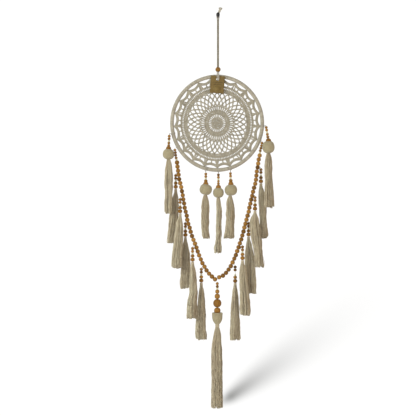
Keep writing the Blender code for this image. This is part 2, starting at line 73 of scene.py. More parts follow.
def srgb(code):
    """A #rrggbb colour in linear light: ((c + 0.055) / 1.055) ** 2.4 above the toe."""
    parts = np.array([int(code[i:i + 2], 16) for i in (1, 3, 5)]) / 255.0
    linear = np.where(parts <= 0.04045, parts / 12.92, ((parts + 0.055) / 1.055) ** 2.4)
    return tuple(float(c) for c in linear)


def set_inputs(tree, node, inputs):
    """Sets a node's inputs: a socket is linked, any other value is set."""
    for key, value in inputs.items():
        if isinstance(value, bpy.types.NodeSocket):
            tree.links.new(value, node.inputs[key])
        else:
            node.inputs[key].default_value = value


def add_node(tree, kind, settings=None, inputs=None):
    """Adds one node with its settings and inputs."""
    node = tree.nodes.new(kind)
    for key, value in (settings or {}).items():
        setattr(node, key, value)
    set_inputs(tree, node, inputs or {})
    return node


def maths(tree, operation, *values):
    """Arithmetic on sockets and numbers."""
    return add_node(tree, "ShaderNodeMath", {"operation": operation},
                    dict(enumerate(values))).outputs[0]


def remap(tree, value, low, high, to_low, to_high, kind="LINEAR"):
    """A value moved from low..high to to_low..to_high, and held between them."""
    return add_node(tree, "ShaderNodeMapRange", {"interpolation_type": kind},
                    {0: value, 1: low, 2: high, 3: to_low, 4: to_high}).outputs[0]


def noise(tree, place, scale, detail=2.0, roughness=0.5):
    """A noise factor at a place; scale is in cells a metre."""
    return add_node(tree, "ShaderNodeTexNoise", inputs={
        "Vector": place, "Scale": scale, "Detail": detail, "Roughness": roughness}).outputs["Fac"]


def colours(tree, factor, *stops):
    """A colour by factor, through stops of (position, colour) in order."""
    ramp = add_node(tree, "ShaderNodeValToRGB", inputs={"Fac": factor})
    marks = ramp.color_ramp.elements
    for mark, (position, code) in zip(marks, (stops[0], stops[-1])):
        mark.position = position
        mark.color = (*srgb(code), 1)
    for position, code in stops[1:-1]:
        marks.new(position).color = (*srgb(code), 1)
    return ramp.outputs["Color"]


def scaled(tree, colour, factor):
    """A colour made darker or lighter by a factor."""
    return add_node(tree, "ShaderNodeVectorMath", {"operation": "SCALE"},
                    {0: colour, "Scale": factor}).outputs[0]


def bump(tree, height, strength, deep=0.1 * MM):
    """The surface's normal, bent by a height."""
    return add_node(tree, "ShaderNodeBump", inputs={
        "Height": height, "Strength": strength, "Distance": deep}).outputs["Normal"]


def stretched(tree, place, scale):
    """A place with its axes scaled."""
    return add_node(tree, "ShaderNodeMapping", inputs={0: place, "Scale": scale}).outputs[0]


def object_place(tree):
    """Each point's place in its own object."""
    return add_node(tree, "ShaderNodeTexCoord").outputs["Object"]


def attribute(tree, name, output="Fac"):
    """A mesh attribute."""
    return add_node(tree, "ShaderNodeAttribute", {"attribute_name": name}).outputs[output]


def new_material(name):
    """An empty node material with a Principled shader joined to its output."""
    material = bpy.data.materials.new(name)
    material.use_nodes = True
    tree = material.node_tree
    tree.nodes.clear()
    shader = add_node(tree, "ShaderNodeBsdfPrincipled")
    add_node(tree, "ShaderNodeOutputMaterial", inputs={"Surface": shader.outputs["BSDF"]})
    return material, tree, shader


def show(name, mesh):
    """A new object with this mesh, linked to the scene."""
    piece = bpy.data.objects.new(name, mesh)
    bpy.context.scene.collection.objects.link(piece)
    return piece


camera_data = bpy.data.cameras.new("camera")
camera_data.sensor_width = SENSOR
camera_data.lens = SENSOR * VIEW_DISTANCE / VIEW_SIDE
camera = show("camera", camera_data)
camera.location = (VIEW_CENTRE[0], -VIEW_DISTANCE, VIEW_CENTRE[2])
camera.rotation_euler = (math.pi / 2, 0, 0)
bpy.context.scene.camera = camera
bpy.context.scene.view_settings.view_transform = "Standard"

for light_name, light_place, size, watts, light_colour in (
        ("window_left", (-1.6, -1.6, 0.25), 1.3, 38, "#f1f8f3"),
        ("room_right", (1.6, -1.2, -0.7), 1.2, 6, "#ffd9ae"),
        ("front_fill", (-0.4, -2.9, 0.1), 2.2, 12, "#fffdf8")):
    light_data = bpy.data.lights.new(light_name, "AREA")
    light_data.size = size
    light_data.energy = watts
    light_data.color = srgb(light_colour)
    ray = np.array(VIEW_CENTRE) - np.array(light_place)
    pitch = math.atan2(ray[2], math.hypot(ray[0], ray[1]))
    light = show(light_name, light_data)
    light.location = light_place
    light.rotation_euler = (math.pi / 2 + pitch, 0, math.atan2(-ray[0], ray[1]))

world = bpy.data.worlds.new("white_room")
world.use_nodes = True
seen = add_node(world.node_tree, "ShaderNodeLightPath").outputs["Is Camera Ray"]
set_inputs(world.node_tree, world.node_tree.nodes["Background"], {
    "Color": (1.0, 1.0, 1.0, 1.0), "Strength": remap(world.node_tree, seen, 0.0, 1.0, ROOM_LIGHT, 1.0)})
bpy.context.scene.world = world


def paint_wall_shadow(tree, paint):
    """A painted shadow in the wall's glow: a soft shade that runs up to the right from under the
    pendant, as a low lamp would cast it.

    glow = G (1 - a exp(-(v / w)^2) exp(-u / long)), with u along the streak, v across it, w = w0 + k u.
    """
    turned = add_node(tree, "ShaderNodeMapping", {"vector_type": "TEXTURE"}, {
        0: object_place(tree), "Location": SHADE_FOOT, "Rotation": (0, -math.radians(SHADE_RISE), 0)})
    parts = add_node(tree, "ShaderNodeSeparateXYZ", inputs={0: turned.outputs[0]})
    run = maths(tree, "MAXIMUM", parts.outputs["X"], 0.0)
    wide = maths(tree, "MULTIPLY_ADD", run, SHADE_SPREAD, SHADE_WIDTH)
    across = maths(tree, "DIVIDE", parts.outputs["Z"], wide)
    power = maths(tree, "MULTIPLY_ADD", across, across, maths(tree, "DIVIDE", run, SHADE_LENGTH))
    bell = maths(tree, "EXPONENT", maths(tree, "MULTIPLY", power, -1.0))
    start = remap(tree, parts.outputs["X"], -0.025, 0.037, 0.0, SHADE_DEPTH, "SMOOTHSTEP")
    glow = maths(tree, "SUBTRACT", 1.0, maths(tree, "MULTIPLY", bell, start))
    # The painted shadow darkens the wall's glow.
    set_inputs(tree, paint, {"Emission Strength": maths(tree, "MULTIPLY", glow, WALL_GLOW)})


def matt_paint(name):
    """White wall paint that glows a little, so that the room stays bright behind the piece."""
    material, tree, paint = new_material(name)
    set_inputs(tree, paint, {"Base Color": (*srgb("#6e6e6e"), 1.0), "Roughness": 0.9,
                             "Emission Color": (1.0, 1.0, 1.0, 1.0), "Emission Strength": WALL_GLOW})
    return material, tree, paint


def make_room():
    """A floor under the piece and a painted wall behind it, with a painted shadow in its glow; the wall
    is clear from its back side.
    """
    floor_paint = matt_paint("matt_white_paint")[0]
    wall_paint, tree, paint = matt_paint("matt_white_wall_painted_shadow")
    paint_wall_shadow(tree, paint)
    both = add_node(tree, "ShaderNodeMixShader", inputs={
        0: add_node(tree, "ShaderNodeNewGeometry").outputs["Backfacing"], 1: paint.outputs["BSDF"],
        2: add_node(tree, "ShaderNodeBsdfTransparent").outputs["BSDF"]})
    set_inputs(tree, tree.nodes["Material Output"], {"Surface": both.outputs["Shader"]})
    x, y, low, high = ROOM_HALF, WALL_BACK, ROOM_FLOOR, ROOM_TOP
    floor = [(-x, -x, low), (x, -x, low), (x, x, low), (-x, x, low)]
    wall = [(-x, y, low), (x, y, low), (x, y, high), (-x, y, high)]
    for name, corners, finish in (("floor", floor, floor_paint), ("wall", wall, wall_paint)):
        mesh = bpy.data.meshes.new(name)
        mesh.from_pydata(corners, [], [(0, 1, 2, 3)])
        mesh.materials.append(finish)
        show(name, mesh)


make_room()

# ------------------------ hanging loop
# Cotton cord of 2.6 mm, three plies laid together, doubled over the nail: two strands hang side by
# side from its eye. A short knot with a flared end sits behind the nail's head.
CORD = 2.6 * MM
CORD_LAY = 5.2 * MM           # length of one turn of the plies
STRAND_OFF = 1.22 * MM        # each strand lies this far off the middle
EYE = 2.8 * MM                # centreline of the eye round the nail
LOOP_NECK = [(0.0016, 0, -0.009), (0.0024, 0, -0.004)]
KNOT_BACK = 0.0016            # the knot lies flat at this depth behind the nail's head


def unit(vectors):
    """Vectors scaled to length one along the last axis."""
    return vectors / np.maximum(np.linalg.norm(vectors, axis=-1, keepdims=True), 1e-12)


def round_angles(count):
    """Even angles round a circle."""
    return np.arange(count) * math.tau / count


def xyz(x, y, z):
    """Points from their coordinates, spread to one shape."""
    return np.stack(np.broadcast_arrays(x, y, z), -1)


def line_steps(path):
    """The lengths of a path's steps."""
    return np.linalg.norm(np.diff(path, axis=-2), axis=-1)


def tube_rings(path, radius, sides, reference=(0, 1, 0), lobes=0, lay=1.0, depth=0.0):
    """Rings round a path: path + r (cos a N + sin a B), N = reference x tangent, B = tangent x N.

    With lobes the section is a twisted cord: r = radius (1 - depth (1 - |cos(lobes (a - turn) / 2)|)),
    where turn grows by one full turn over each lay length.
    """
    path = np.asarray(path, float)
    tangent = unit(np.gradient(path, axis=-2))
    normal = unit(np.cross(np.broadcast_to(reference, tangent.shape), tangent))
    binormal = np.cross(tangent, normal)
    angle = round_angles(sides)
    radius = np.broadcast_to(radius, path.shape[:-1])[..., None] * np.ones(sides)
    if lobes:
        start = np.zeros(path.shape[:-2] + (1,))
        along = np.concatenate([start, np.cumsum(line_steps(path), axis=-1)], axis=-1)
        turn = along[..., None] * math.tau / lay
        radius = radius * (1 - depth * (1 - np.abs(np.cos(lobes * (angle - turn) / 2))))
    circle = (np.cos(angle)[:, None] * normal[..., None, :]
              + np.sin(angle)[:, None] * binormal[..., None, :])
    return path[..., None, :] + radius[..., None] * circle


def grid_piece(name, rings, material, closed=False, **attributes):
    """A mesh of K grids of N rings by S sides; open ends are capped, attributes are per point."""
    rings = np.asarray(rings, float)
    if rings.ndim == 3:
        rings = rings[None]
    count, long, sides, _ = rings.shape
    index = np.arange(count * long * sides).reshape(count, long, sides)
    here = index if closed else index[:, :-1]
    there = np.roll(index, -1, axis=1) if closed else index[:, 1:]
    quads = [np.stack([here, np.roll(here, -1, 2), np.roll(there, -1, 2), there], -1).reshape(-1, 4)]
    if not closed:
        for k in range(1, sides - 2, 2):
            first, last = index[:, 0], index[:, -1]
            quads.append(np.stack([first[:, 0], first[:, k + 2], first[:, k + 1], first[:, k]], -1))
            quads.append(np.stack([last[:, 0], last[:, k], last[:, k + 1], last[:, k + 2]], -1))
    mesh = bpy.data.meshes.new(name)
    mesh.from_pydata(rings.reshape(-1, 3), [], np.concatenate(quads))
    mesh.shade_smooth()
    for key, value in attributes.items():
        kind, field, shape = (("FLOAT_VECTOR", "vector", rings.shape) if key == "grain" else
                              ("FLOAT", "value", rings.shape[:-1]))
        spread = np.broadcast_to(np.asarray(value, float), shape).astype(np.float32).ravel()
        mesh.attributes.new(key, kind, "POINT").data.foreach_set(field, spread)
    mesh.materials.append(material)
    return show(name, mesh)


def put_grid(name, rings, body, material, closed=False, **attributes):
    """A grid piece that rides on a body."""
    piece = grid_piece(name, rings, material, closed, **attributes)
    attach(piece, body)
    return piece


def put_thread(name, path, radius, lay, body, depth=0.25, tone=0.5):
    """A two-ply cotton thread along a path, as a piece that rides on a body."""
    rings = tube_rings(path, radius, 8, lobes=2, lay=lay, depth=depth)
    return put_grid(name, rings, body, cord_cotton, tone=tone)


def resample(points, step):
    """A smooth line through points (Catmull-Rom), with even steps along its length."""
    points = np.asarray(points, float)
    full = np.concatenate([[2 * points[0] - points[1]], points, [2 * points[-1] - points[-2]]])
    a, b, c, d = full[:-3, None], full[1:-2, None], full[2:-1, None], full[3:, None]
    t = (np.arange(24) / 24)[None, :, None]
    dense = 0.5 * (2 * b + (c - a) * t + (2 * a - 5 * b + 4 * c - d) * t ** 2
                   + (3 * b - a - 3 * c + d) * t ** 3)
    dense = np.concatenate([dense.reshape(-1, 3), points[-1:]])
    along = np.concatenate([[0], np.cumsum(line_steps(dense))])
    even = np.linspace(0, along[-1], max(3, int(round(along[-1] / step)) + 1))
    return np.stack([np.interp(even, along, dense[:, k]) for k in range(3)], axis=-1)


def cotton_yarn(name, shade, body, light, fibre=0.35, fuzz=0.5):
    """Matt spun cotton: hue by strand from the tone attribute, fine fibre streaks, a soft sheen.

    The fibre noise is set by its real size in millimetres, and the slow noise gives handling marks.
    """
    material, tree, shader = new_material(name)
    place = object_place(tree)
    slow = noise(tree, place, 90.0, 3.0)
    mixed = maths(tree, "MULTIPLY_ADD", slow, 0.5, attribute(tree, "tone"))
    hue = colours(tree, maths(tree, "SUBTRACT", mixed, 0.25), (0.0, shade), (0.5, body), (1.0, light))
    fine = noise(tree, place, 1.0 / (fibre * MM), 4.0, 0.7)
    speck = remap(tree, fine, 0.3, 0.7, 0.80, 1.12)
    set_inputs(tree, shader, {
        "Base Color": scaled(tree, hue, speck), "Normal": bump(tree, fine, fuzz, 0.3 * MM),
        "Roughness": 0.92, "Specular IOR Level": 0.2, "Sheen Weight": 0.25, "Sheen Roughness": 0.5})
    return material


# The cord's dark end (#6b6352) is reached mostly through the hanging loop's low tone, which is painted
# shade.
cord_cotton = cotton_yarn("cotton_cord", "#6b6352", "#a0988a", "#c2bcab")
loop_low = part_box("hanging_loop")[0][2] + 0.2 * MM
eye_turn = np.linspace(0, math.pi, 13)
loop_side = [(STRAND_OFF, 0, z) for z in np.linspace(loop_low, -0.014, 9)]
loop_side += LOOP_NECK
loop_eye = [(EYE * math.cos(a), 0, EYE * math.sin(a)) for a in eye_turn]
loop_route = loop_side + loop_eye + [(-x, y, z) for x, y, z in reversed(loop_side)]
loop_path = resample(loop_route, 0.5 * MM)
loop_rings = tube_rings(loop_path, CORD / 2, 14, lobes=3, lay=CORD_LAY, depth=0.14)
# tone=0.18 makes the hanging loop darker than the other cords: painted shade, for the shade between its
# two strands.
hanging_cord = put_grid("hanging_cord", loop_rings, "loop", cord_cotton, tone=0.18)
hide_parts("hanging_loop")

knot_route = [(0.0012, 0.0024, 0.0044), (0.0022, 0.0024, 0.0060), (0.0034, 0.0022, 0.0086),
              (0.0044, 0.0018, 0.0112), (0.0054, 0.0014, 0.0138), (0.0062, 0.0010, 0.0160)]
knot_path = resample(knot_route, 0.35 * MM)
knot_share = np.linspace(0, 1, len(knot_path))
knot_size = np.interp(knot_share, [0, 0.12, 0.3, 0.6, 0.8, 1], [1.6, 2.8, 2.9, 3.0, 3.8, 5.0]) * MM
knot_rings = tube_rings(knot_path, knot_size, 22, lobes=4, lay=4 * CORD_LAY, depth=0.25)
knot_rings[..., 1] = KNOT_BACK + 0.5 * (knot_rings[..., 1] - KNOT_BACK)
knot = put_grid("cord_knot", knot_rings, "nail_knot", cord_cotton, tone=0.6)
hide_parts("loop_knot")
FRAY_ROOT, FRAY_WAY = np.array((0.0060, 0.0011, 0.0146)), np.array((0.18, -0.1, 0.9))


def frayed_ends(count=90, length=2.2 * MM, spread=1.9 * MM):
    """Loose yarn ends that fan out from the knot's tail: straight lines, each with its own lean."""
    random = np.random.default_rng(5)
    share = np.linspace(0, 1, 6)[None, :, None]
    side = random.normal(0, 1, (count, 1, 3)) * spread
    path = FRAY_ROOT + np.array((1.0, 0.4, 0.2)) * side + FRAY_WAY * length * share
    rings = tube_rings(path, 0.28 * MM * (1 - 0.5 * share[..., 0]), 4)
    return put_grid("cord_knot_fray", rings, "nail_knot", cord_cotton,
                    tone=random.uniform(0.3, 0.8, (count, 1, 1)))


knot_end = frayed_ends()

# The nail isn't part of the object: a plain dark pin with a domed head, set out as scenery.
nail_material, nail_tree, nail_shader = new_material("blued_steel_nail")
set_inputs(nail_tree, nail_shader,
           {"Base Color": (*srgb("#120e0b"), 1), "Metallic": 0.2, "Roughness": 0.5})
nail_profile = np.array([(-6.2, 0.6), (-6.0, 2.6), (-5.2, 4.0), (-3.6, 4.2), (-3.4, 1.5), (0, 1.4),
                         (20, 1.4), (45, 1.4)]) * MM
nail_rings = tube_rings(xyz(0, nail_profile[:, 0], 0), nail_profile[:, 1], 20, reference=(0, 0, 1))
nail = grid_piece("nail", nail_rings * (1.0, 1.0, 1.25), nail_material)

# ------------------------ wooden beads
# Turned beads of a pale hardwood, stained golden brown and lacquered; each has its own shade and
# its own run of grain, and a bore for the thread. Spacers are small cream bone-coloured barrels.


def bead_shape(square, rows=11, sides=16, bore=0.17, narrow=0.92, reach=0.6):
    """A unit bead, turned about Z: r^n + |z|^n = 1 from bore to bore, then back up through the bore."""
    start = math.asin(bore ** (square / 2))
    arc = np.linspace(start, math.pi - start, rows)
    radius = np.concatenate([np.sin(arc) ** (2 / square), [bore * narrow] * 2])[:, None]
    height = np.sign(np.cos(arc)) * np.abs(np.cos(arc)) ** (2 / square)
    height = np.concatenate([height, [-reach, reach]])[:, None]
    angle = round_angles(sides)
    return xyz(radius * np.cos(angle), radius * np.sin(angle), height)


def thread_beads(name, places, directions, radii, lengths, body, material, seed,
                 shades=None, square=2.3):
    """Beads on a thread: the unit bead scaled to radius and half length, its Z laid along the thread."""
    random = np.random.default_rng(seed)
    places, axis = np.asarray(places, float), -unit(np.asarray(directions, float))
    count = len(places)
    turn = random.uniform(0, math.tau, count)
    side = unit(np.cross(axis, (0, 1, 0)))
    other = np.cross(axis, side)
    first = np.cos(turn)[:, None] * side + np.sin(turn)[:, None] * other
    second = np.cross(axis, first)
    radii, lengths = np.asarray(radii, float), np.asarray(lengths, float)
    local = bead_shape(square)[None] * np.stack([radii, radii, lengths / 2], -1)[:, None, None, :]
    basis = np.stack([first, second, axis], 1)
    rings = places[:, None, None, :] + np.einsum("knsi,kij->knsj", local, basis)
    tone = random.beta(3.5, 3.5, count) if shades is None else np.asarray(shades, float)
    grain = local + random.uniform(0, 1, (count, 1, 1, 3))
    return put_grid(name, rings[:, ::-1], body, material, closed=True,
                    tone=tone[:, None, None], grain=grain[:, ::-1])


def lacquered_wood():
    """Stained hardwood under satin lacquer: grain along the bore, darker pores, a clear coat."""
    material, tree, shader = new_material("stained_hardwood_bead")
    stretch = stretched(tree, attribute(tree, "grain", "Vector"), (1.0, 1.0, 0.22))
    bands = noise(tree, stretch, 420.0, 5.0, 0.6)
    pores = noise(tree, stretch, 2400.0)
    shade = maths(tree, "MULTIPLY_ADD", bands, 0.7, attribute(tree, "tone"))
    hue = colours(tree, maths(tree, "SUBTRACT", shade, 0.35),
                  (0.0, "#50340b"), (0.45, "#865d24"), (1.0, "#a87b3a"))
    speck = remap(tree, pores, 0.35, 0.55, 0.78, 1.05)
    set_inputs(tree, shader, {
        "Base Color": scaled(tree, hue, speck), "Normal": bump(tree, pores, 0.15),
        "Roughness": remap(tree, bands, 0.3, 0.7, 0.40, 0.55), "Specular IOR Level": 0.16,
        "Coat Weight": 0.03, "Coat Roughness": 0.3})
    return material


def bone_spacer():
    """Cream bone or resin: a slightly waxy surface with faint cloudy marks."""
    material, tree, shader = new_material("cream_bone_spacer")
    cloud = noise(tree, object_place(tree), 700.0, 3.0)
    set_inputs(tree, shader, {
        "Base Color": colours(tree, cloud, (0.0, "#b5b088"), (1.0, "#e0dcb8")),
        "Normal": bump(tree, cloud, 0.1), "Roughness": 0.5})
    return material


bead_wood = lacquered_wood()
spacer_bone = bone_spacer()

# The hanger bead is a round one, with a bore wide enough for two cords.
HANGER_RADIUS = 6.0 * MM
HANGER_BORE = 3.15 * MM / HANGER_RADIUS
hanger_middle = np.mean(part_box("hanger_bead"), axis=0)
hanger_rings = HANGER_RADIUS * bead_shape(2.0, 17, 32, HANGER_BORE, 0.97,
                                          0.9 * math.sqrt(1 - HANGER_BORE ** 2))
hanger = put_grid("hanger_bead_wood", (hanger_rings + hanger_middle)[::-1], "hanger_bead", bead_wood,
                  closed=True, tone=0.42, grain=hanger_rings[::-1] + 0.3)
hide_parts("hanger_bead")

# ------------------------ hoop
# A steel craft ring, closely wound with cotton yarn, 344 turns side by side. The ring is hidden;
# the winding leaves fine slanting ridges round the tube.
HOOP_TOP = joint_place["hoop_tilt"][2]
RING_HALF_WIDTH = 103.8 * MM
RING_HALF_HEIGHT = 107.5 * MM
WRAP_RADIUS = 4.5 * MM
HOOP_MIDDLE = np.array((-2.0 * MM, 0.0, HOOP_TOP - RING_HALF_HEIGHT))
WRAP_TURNS = 344
FRONT = np.array((0, -1, 0))


def hoop_point(angle):
    """The tube's centre at an angle from +X: middle + (a cos, 0, b sin)."""
    return HOOP_MIDDLE + xyz(RING_HALF_WIDTH * np.cos(angle), 0.0, RING_HALF_HEIGHT * np.sin(angle))


def hoop_outward(angle):
    """Unit vector out of the hoop at an angle: (cos / a, 0, sin / b), scaled to one."""
    return unit(xyz(np.cos(angle) / RING_HALF_WIDTH, 0.0, np.sin(angle) / RING_HALF_HEIGHT))


def wound_hoop():
    """Tube round the ellipse: radius = R (0.925 + 0.075 |sin|^0.6) along a slanting wave per turn."""
    random = np.random.default_rng(11)
    sweep = round_angles(WRAP_TURNS * 6)
    round_tube = round_angles(16)
    wave = 0.5 * (WRAP_TURNS * sweep[:, None] + round_tube[None] - 0.9 * np.sin(round_tube)[None])
    turn = np.floor(WRAP_TURNS * sweep[:, None] / math.tau + round_tube[None] / math.tau).astype(int)
    uneven = random.normal(0, 0.012, WRAP_TURNS + 2)[turn]
    radius = WRAP_RADIUS * (0.925 + 0.075 * np.abs(np.sin(wave)) ** 0.6 + uneven)
    circle = (np.cos(round_tube)[:, None] * hoop_outward(sweep)[:, None]
              + np.sin(round_tube)[:, None] * FRONT)
    rings = hoop_point(sweep)[:, None] + radius[..., None] * circle
    tone = 0.5 + random.normal(0, 0.10, WRAP_TURNS + 2)[turn]
    return put_grid("hoop_winding", rings[::-1], "hoop", wrap_cotton, closed=True,
                    tone=tone[::-1][None])


wrap_cotton = cotton_yarn("wound_cotton_yarn", "#756d5f", "#9d9585", "#b4ad9c", fuzz=0.4)
winding = wound_hoop()
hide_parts("hoop_wrap")
steel, steel_tree, steel_shader = new_material("plain_steel_wire")
steel_marks = noise(steel_tree, object_place(steel_tree), 900.0)
set_inputs(steel_tree, steel_shader, {
    "Base Color": (*srgb("#b9b9bb"), 1), "Metallic": 1.0,
    "Roughness": remap(steel_tree, steel_marks, 0.0, 1.0, 0.3, 0.5)})
frame["nodes"]["hoop_ring"].data.materials.clear()
frame["nodes"]["hoop_ring"].data.materials.append(steel)

# ------------------------ crocheted web
# One round doily of thick cotton, worked outwards from a tight middle: rings of open posts, a net of
# loops, a solid band, a row of ovals and an edge of scallops, whose tips are tied to the hoop.
YARN = 1.15 * MM              # radius of the crochet yarn
STITCH = 2.7 * MM             # one stitch along the yarn
TIPS = 21
TIP_TURN = 0.5                # a tip is half a scallop past the top
NET = 33                      # openings in a row of the net
NET_SLANT = 2.0               # pitches that a loop of the net leans on its way out
NET_STEPS, POST_STEPS = 22, 6
WOBBLE = 0.004                # unevenness, as a share of the radius
WEB_TURN = math.radians(90)
WEB_REACH_X = RING_HALF_WIDTH - WRAP_RADIUS
WEB_REACH_Z = RING_HALF_HEIGHT - WRAP_RADIUS
web_random = np.random.default_rng(21)


def on_web(share, angle, lift=0.0):
    """A point of the web: a share of the way from its middle to the hoop, lifted to the front."""
    return HOOP_MIDDLE + xyz(WEB_REACH_X * share * np.cos(angle), -lift,
                                WEB_REACH_Z * share * np.sin(angle))


def web_wobble(angle, seed):
    """Hand-made unevenness: a few slow waves with random phases, as a share of the radius."""
    random = np.random.default_rng(seed)
    total = 0
    for waves in (3, 5, 9, 17, 31):
        total = total + random.normal() * np.sin(waves * angle + random.uniform(0, math.tau))
    return WOBBLE * total / 2


def stitched_ring(share_of_angle, seed, thick):
    """A closed line of stitches: share_of_angle gives the radius, the yarn swells once per stitch."""
    length = math.tau * 0.1 * float(np.mean(share_of_angle(np.linspace(0, math.tau, 90))))
    stations = max(60, int(length / (0.55 * MM)))
    angle = round_angles(stations)[np.arange(-1, stations + 1) % stations]
    stitches = max(8, int(length / STITCH))
    share = share_of_angle(angle) + web_wobble(angle, seed)
    path = on_web(share, angle + WEB_TURN, 0.25 * YARN * np.sin(stitches * angle))
    swell = thick * (0.86 + 0.2 * np.abs(np.cos(stitches * angle / 2)))
    return tube_rings(path, swell, 6)[1:-1]


def join_pieces(name, pieces):
    """Joins meshes by their own data, keeping the attributes: the first piece takes the rest."""
    with bpy.context.temp_override(active_object=pieces[0], object=pieces[0],
                                   selected_objects=pieces, selected_editable_objects=pieces):
        bpy.ops.object.join()
    pieces[0].name = pieces[0].data.name = name
    return pieces[0]


def posts(inner, outer, count, seed, thick, turn, slant):
    """Radial stitches, evenly round the web: each leans by slant pitches on its way out.

    angle = (k + turn + slant (s - 1/2)) 2 pi / count, radius = inner + (outer - inner) s.
    """
    random = np.random.default_rng(seed)
    angle = (np.arange(count) + turn) * math.tau / count + random.normal(0, 0.2 / count, count)
    share = np.linspace(0, 1, NET_STEPS if abs(slant) == NET_SLANT else POST_STEPS)[None]
    sweep = angle[:, None] + slant * (share - 0.5) * math.tau / count
    lift = 0.4 * np.sin(math.pi * share * max(1, abs(slant))) + random.normal(0, 0.15, (count, 1))
    path = on_web(inner + (outer - inner) * share, sweep + WEB_TURN, lift * YARN)
    swell = thick * (0.8 + 0.25 * np.sin(math.pi * share * 2 + 0.6) ** 2) + 0 * angle[:, None]
    return tube_rings(path, swell, 6), random.uniform(0.3, 0.7, (count, 1, 1))


web_cotton = cotton_yarn("crochet_cotton", "#6f6858", "#9a9281", "#b2aa99", fuzz=0.6)


def scallop(angle, tip, dip):
    """Edge of the web: it reaches tip at each tip, and dips by dip sin(pi s)^0.75 between them."""
    along = np.mod(angle * TIPS / math.tau + 0.5, 1.0)
    return tip - dip * np.sin(math.pi * along) ** 0.75


def make_web():
    """All the yarn of the doily, in shares of the way from its middle to the hoop.

    plain: (share, thickness) of round lines; scallops: (tip, dip, thickness) of edge lines; plan:
    (inner, outer, count, turn, slant, thickness) of rows of stitches.
    """
    plain = [(0.013, 1.0), (0.034, 1.0), (0.056, 1.0), (0.078, 1.0), (0.100, 1.0), (0.122, 1.05),
             (0.203, 1.1), (0.223, 1.0), (0.243, 1.0), (0.262, 1.0), (0.282, 1.25), (0.376, 0.9),
             (0.690, 1.0), (0.709, 1.0), (0.728, 1.0), (0.747, 1.0), (0.764, 1.1), (0.818, 1.1),
             (0.837, 1.05)]
    scallops = ((1.000, 0.066, 1.2), (0.979, 0.063, 1.3), (0.958, 0.058, 1.3))
    lines = [(lambda a, s=share: s + 0 * a, 100 + number, thick, 0.42 + 0.16 * web_random.random())
             for number, (share, thick) in enumerate(plain)]
    lines += [(lambda a, t=tip, d=dip: scallop(a, t, d), 150 + number, thick, 0.5)
              for number, (tip, dip, thick) in enumerate(scallops)]
    rings = [put_grid(f"web_rings_{k}", stitched_ring(shape, seed, YARN * thick), "hoop", web_cotton,
                      closed=True, tone=tone) for k, (shape, seed, thick, tone) in enumerate(lines)]

    plan = [(0.125, 0.203, 27, 0.0, 0.0, 1.2), (0.20, 0.285, 58, 0.5, 1.0, 0.8),
            (0.282, 0.378, 44, 0.0, 0.0, 1.6), (0.365, 0.692, NET, 0.0, NET_SLANT, 1.4),
            (0.365, 0.692, NET, 0.0, -NET_SLANT, 1.4), (0.425, 0.468, NET, 0.5, 0.0, 1.9),
            (0.506, 0.550, NET, 0.0, 0.0, 2.0), (0.588, 0.632, NET, 0.5, 0.0, 2.1),
            (0.66, 0.70, NET, 0.0, 0.0, 2.3), (0.69, 0.766, 96, 0.0, 1.0, 0.95),
            (0.762, 0.820, 134, 0.0, 0.0, 1.2), (0.835, 0.925, TIPS, 1.0, 0.0, 1.5),
            (0.835, 0.985, TIPS, TIP_TURN, 0.0, 1.6), (0.835, 0.980, TIPS, TIP_TURN + 0.09, -0.12, 1.5),
            (0.835, 0.980, TIPS, TIP_TURN - 0.09, 0.12, 1.5)]
    rods = []
    for number, (inner, outer, count, turn, slant, thick) in enumerate(plan):
        grid, tone = posts(inner, outer, count, 200 + number, YARN * thick, turn, slant)
        rods.append(put_grid(f"web_posts_{number}", grid, "hoop", web_cotton, tone=tone))
    return join_pieces("web_rings", rings), join_pieces("web_posts", rods)


web_rings, web_posts = make_web()
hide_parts("web")


def hoop_loops(name, angles, radius, thick, material, turns=2):
    """Threads tied round the hoop: helices of a few turns round the tube, at given angles."""
    sweep = np.linspace(0, math.tau * turns, 14 * turns + 1)[:, None]
    drift = (sweep / (math.tau * turns) - 0.5) * thick * 2 * turns * 0.9
    out = hoop_outward(angles)[:, None]
    along = xyz(-out[..., 2], 0.0, out[..., 0])
    path = (hoop_point(angles)[:, None] + radius * (np.cos(sweep) * out - np.sin(sweep) * FRONT)
            + drift * along)
    return put_grid(name, tube_rings(path, thick, 6, reference=along), "hoop", material, tone=0.5)


tip_angles = WEB_TURN + math.tau * (np.arange(TIPS) + TIP_TURN) / TIPS
web_ties = hoop_loops("web_ties", tip_angles, WRAP_RADIUS - 0.4 * MM, 0.45 * MM, web_cotton)

# ------------------------ tag and hitch
# A plain kraft card with a punched hole. Two cords come out under the hanger bead, spread over the
# top of the hoop and go round it, through the card's hole.
TAG_WIDTH, TAG_HEIGHT, TAG_THICK = 32.0 * MM, 40.0 * MM, 0.7 * MM
TAG_HOLE = 3.4 * MM
TAG_HOLE_DOWN = 7.8 * MM
TAG_TURN = math.radians(4.5)
HITCH_RADIUS = 9.0 * MM
HITCH_SPREAD = 1.65 * MM      # each cord's distance from the middle
HITCH_ARC = (32, 322)         # degrees round the hoop, from its top over the front
TAG_FRONT = 5.66 * MM
tag_hole = np.array((-0.6 * MM, -TAG_FRONT, HOOP_TOP - math.sqrt(HITCH_RADIUS ** 2 - TAG_FRONT ** 2)))


def card_point(x, z, proud=0.0):
    """A point of the card: turned about its hole, with a slight bow towards the room at its foot."""
    bow = 0.9 * MM * ((z - TAG_HOLE_DOWN) / TAG_HEIGHT) ** 2
    turned_x = x * math.cos(TAG_TURN) + z * math.sin(TAG_TURN)
    turned_z = -x * math.sin(TAG_TURN) + z * math.cos(TAG_TURN)
    return tag_hole + xyz(turned_x, -bow - proud, turned_z)


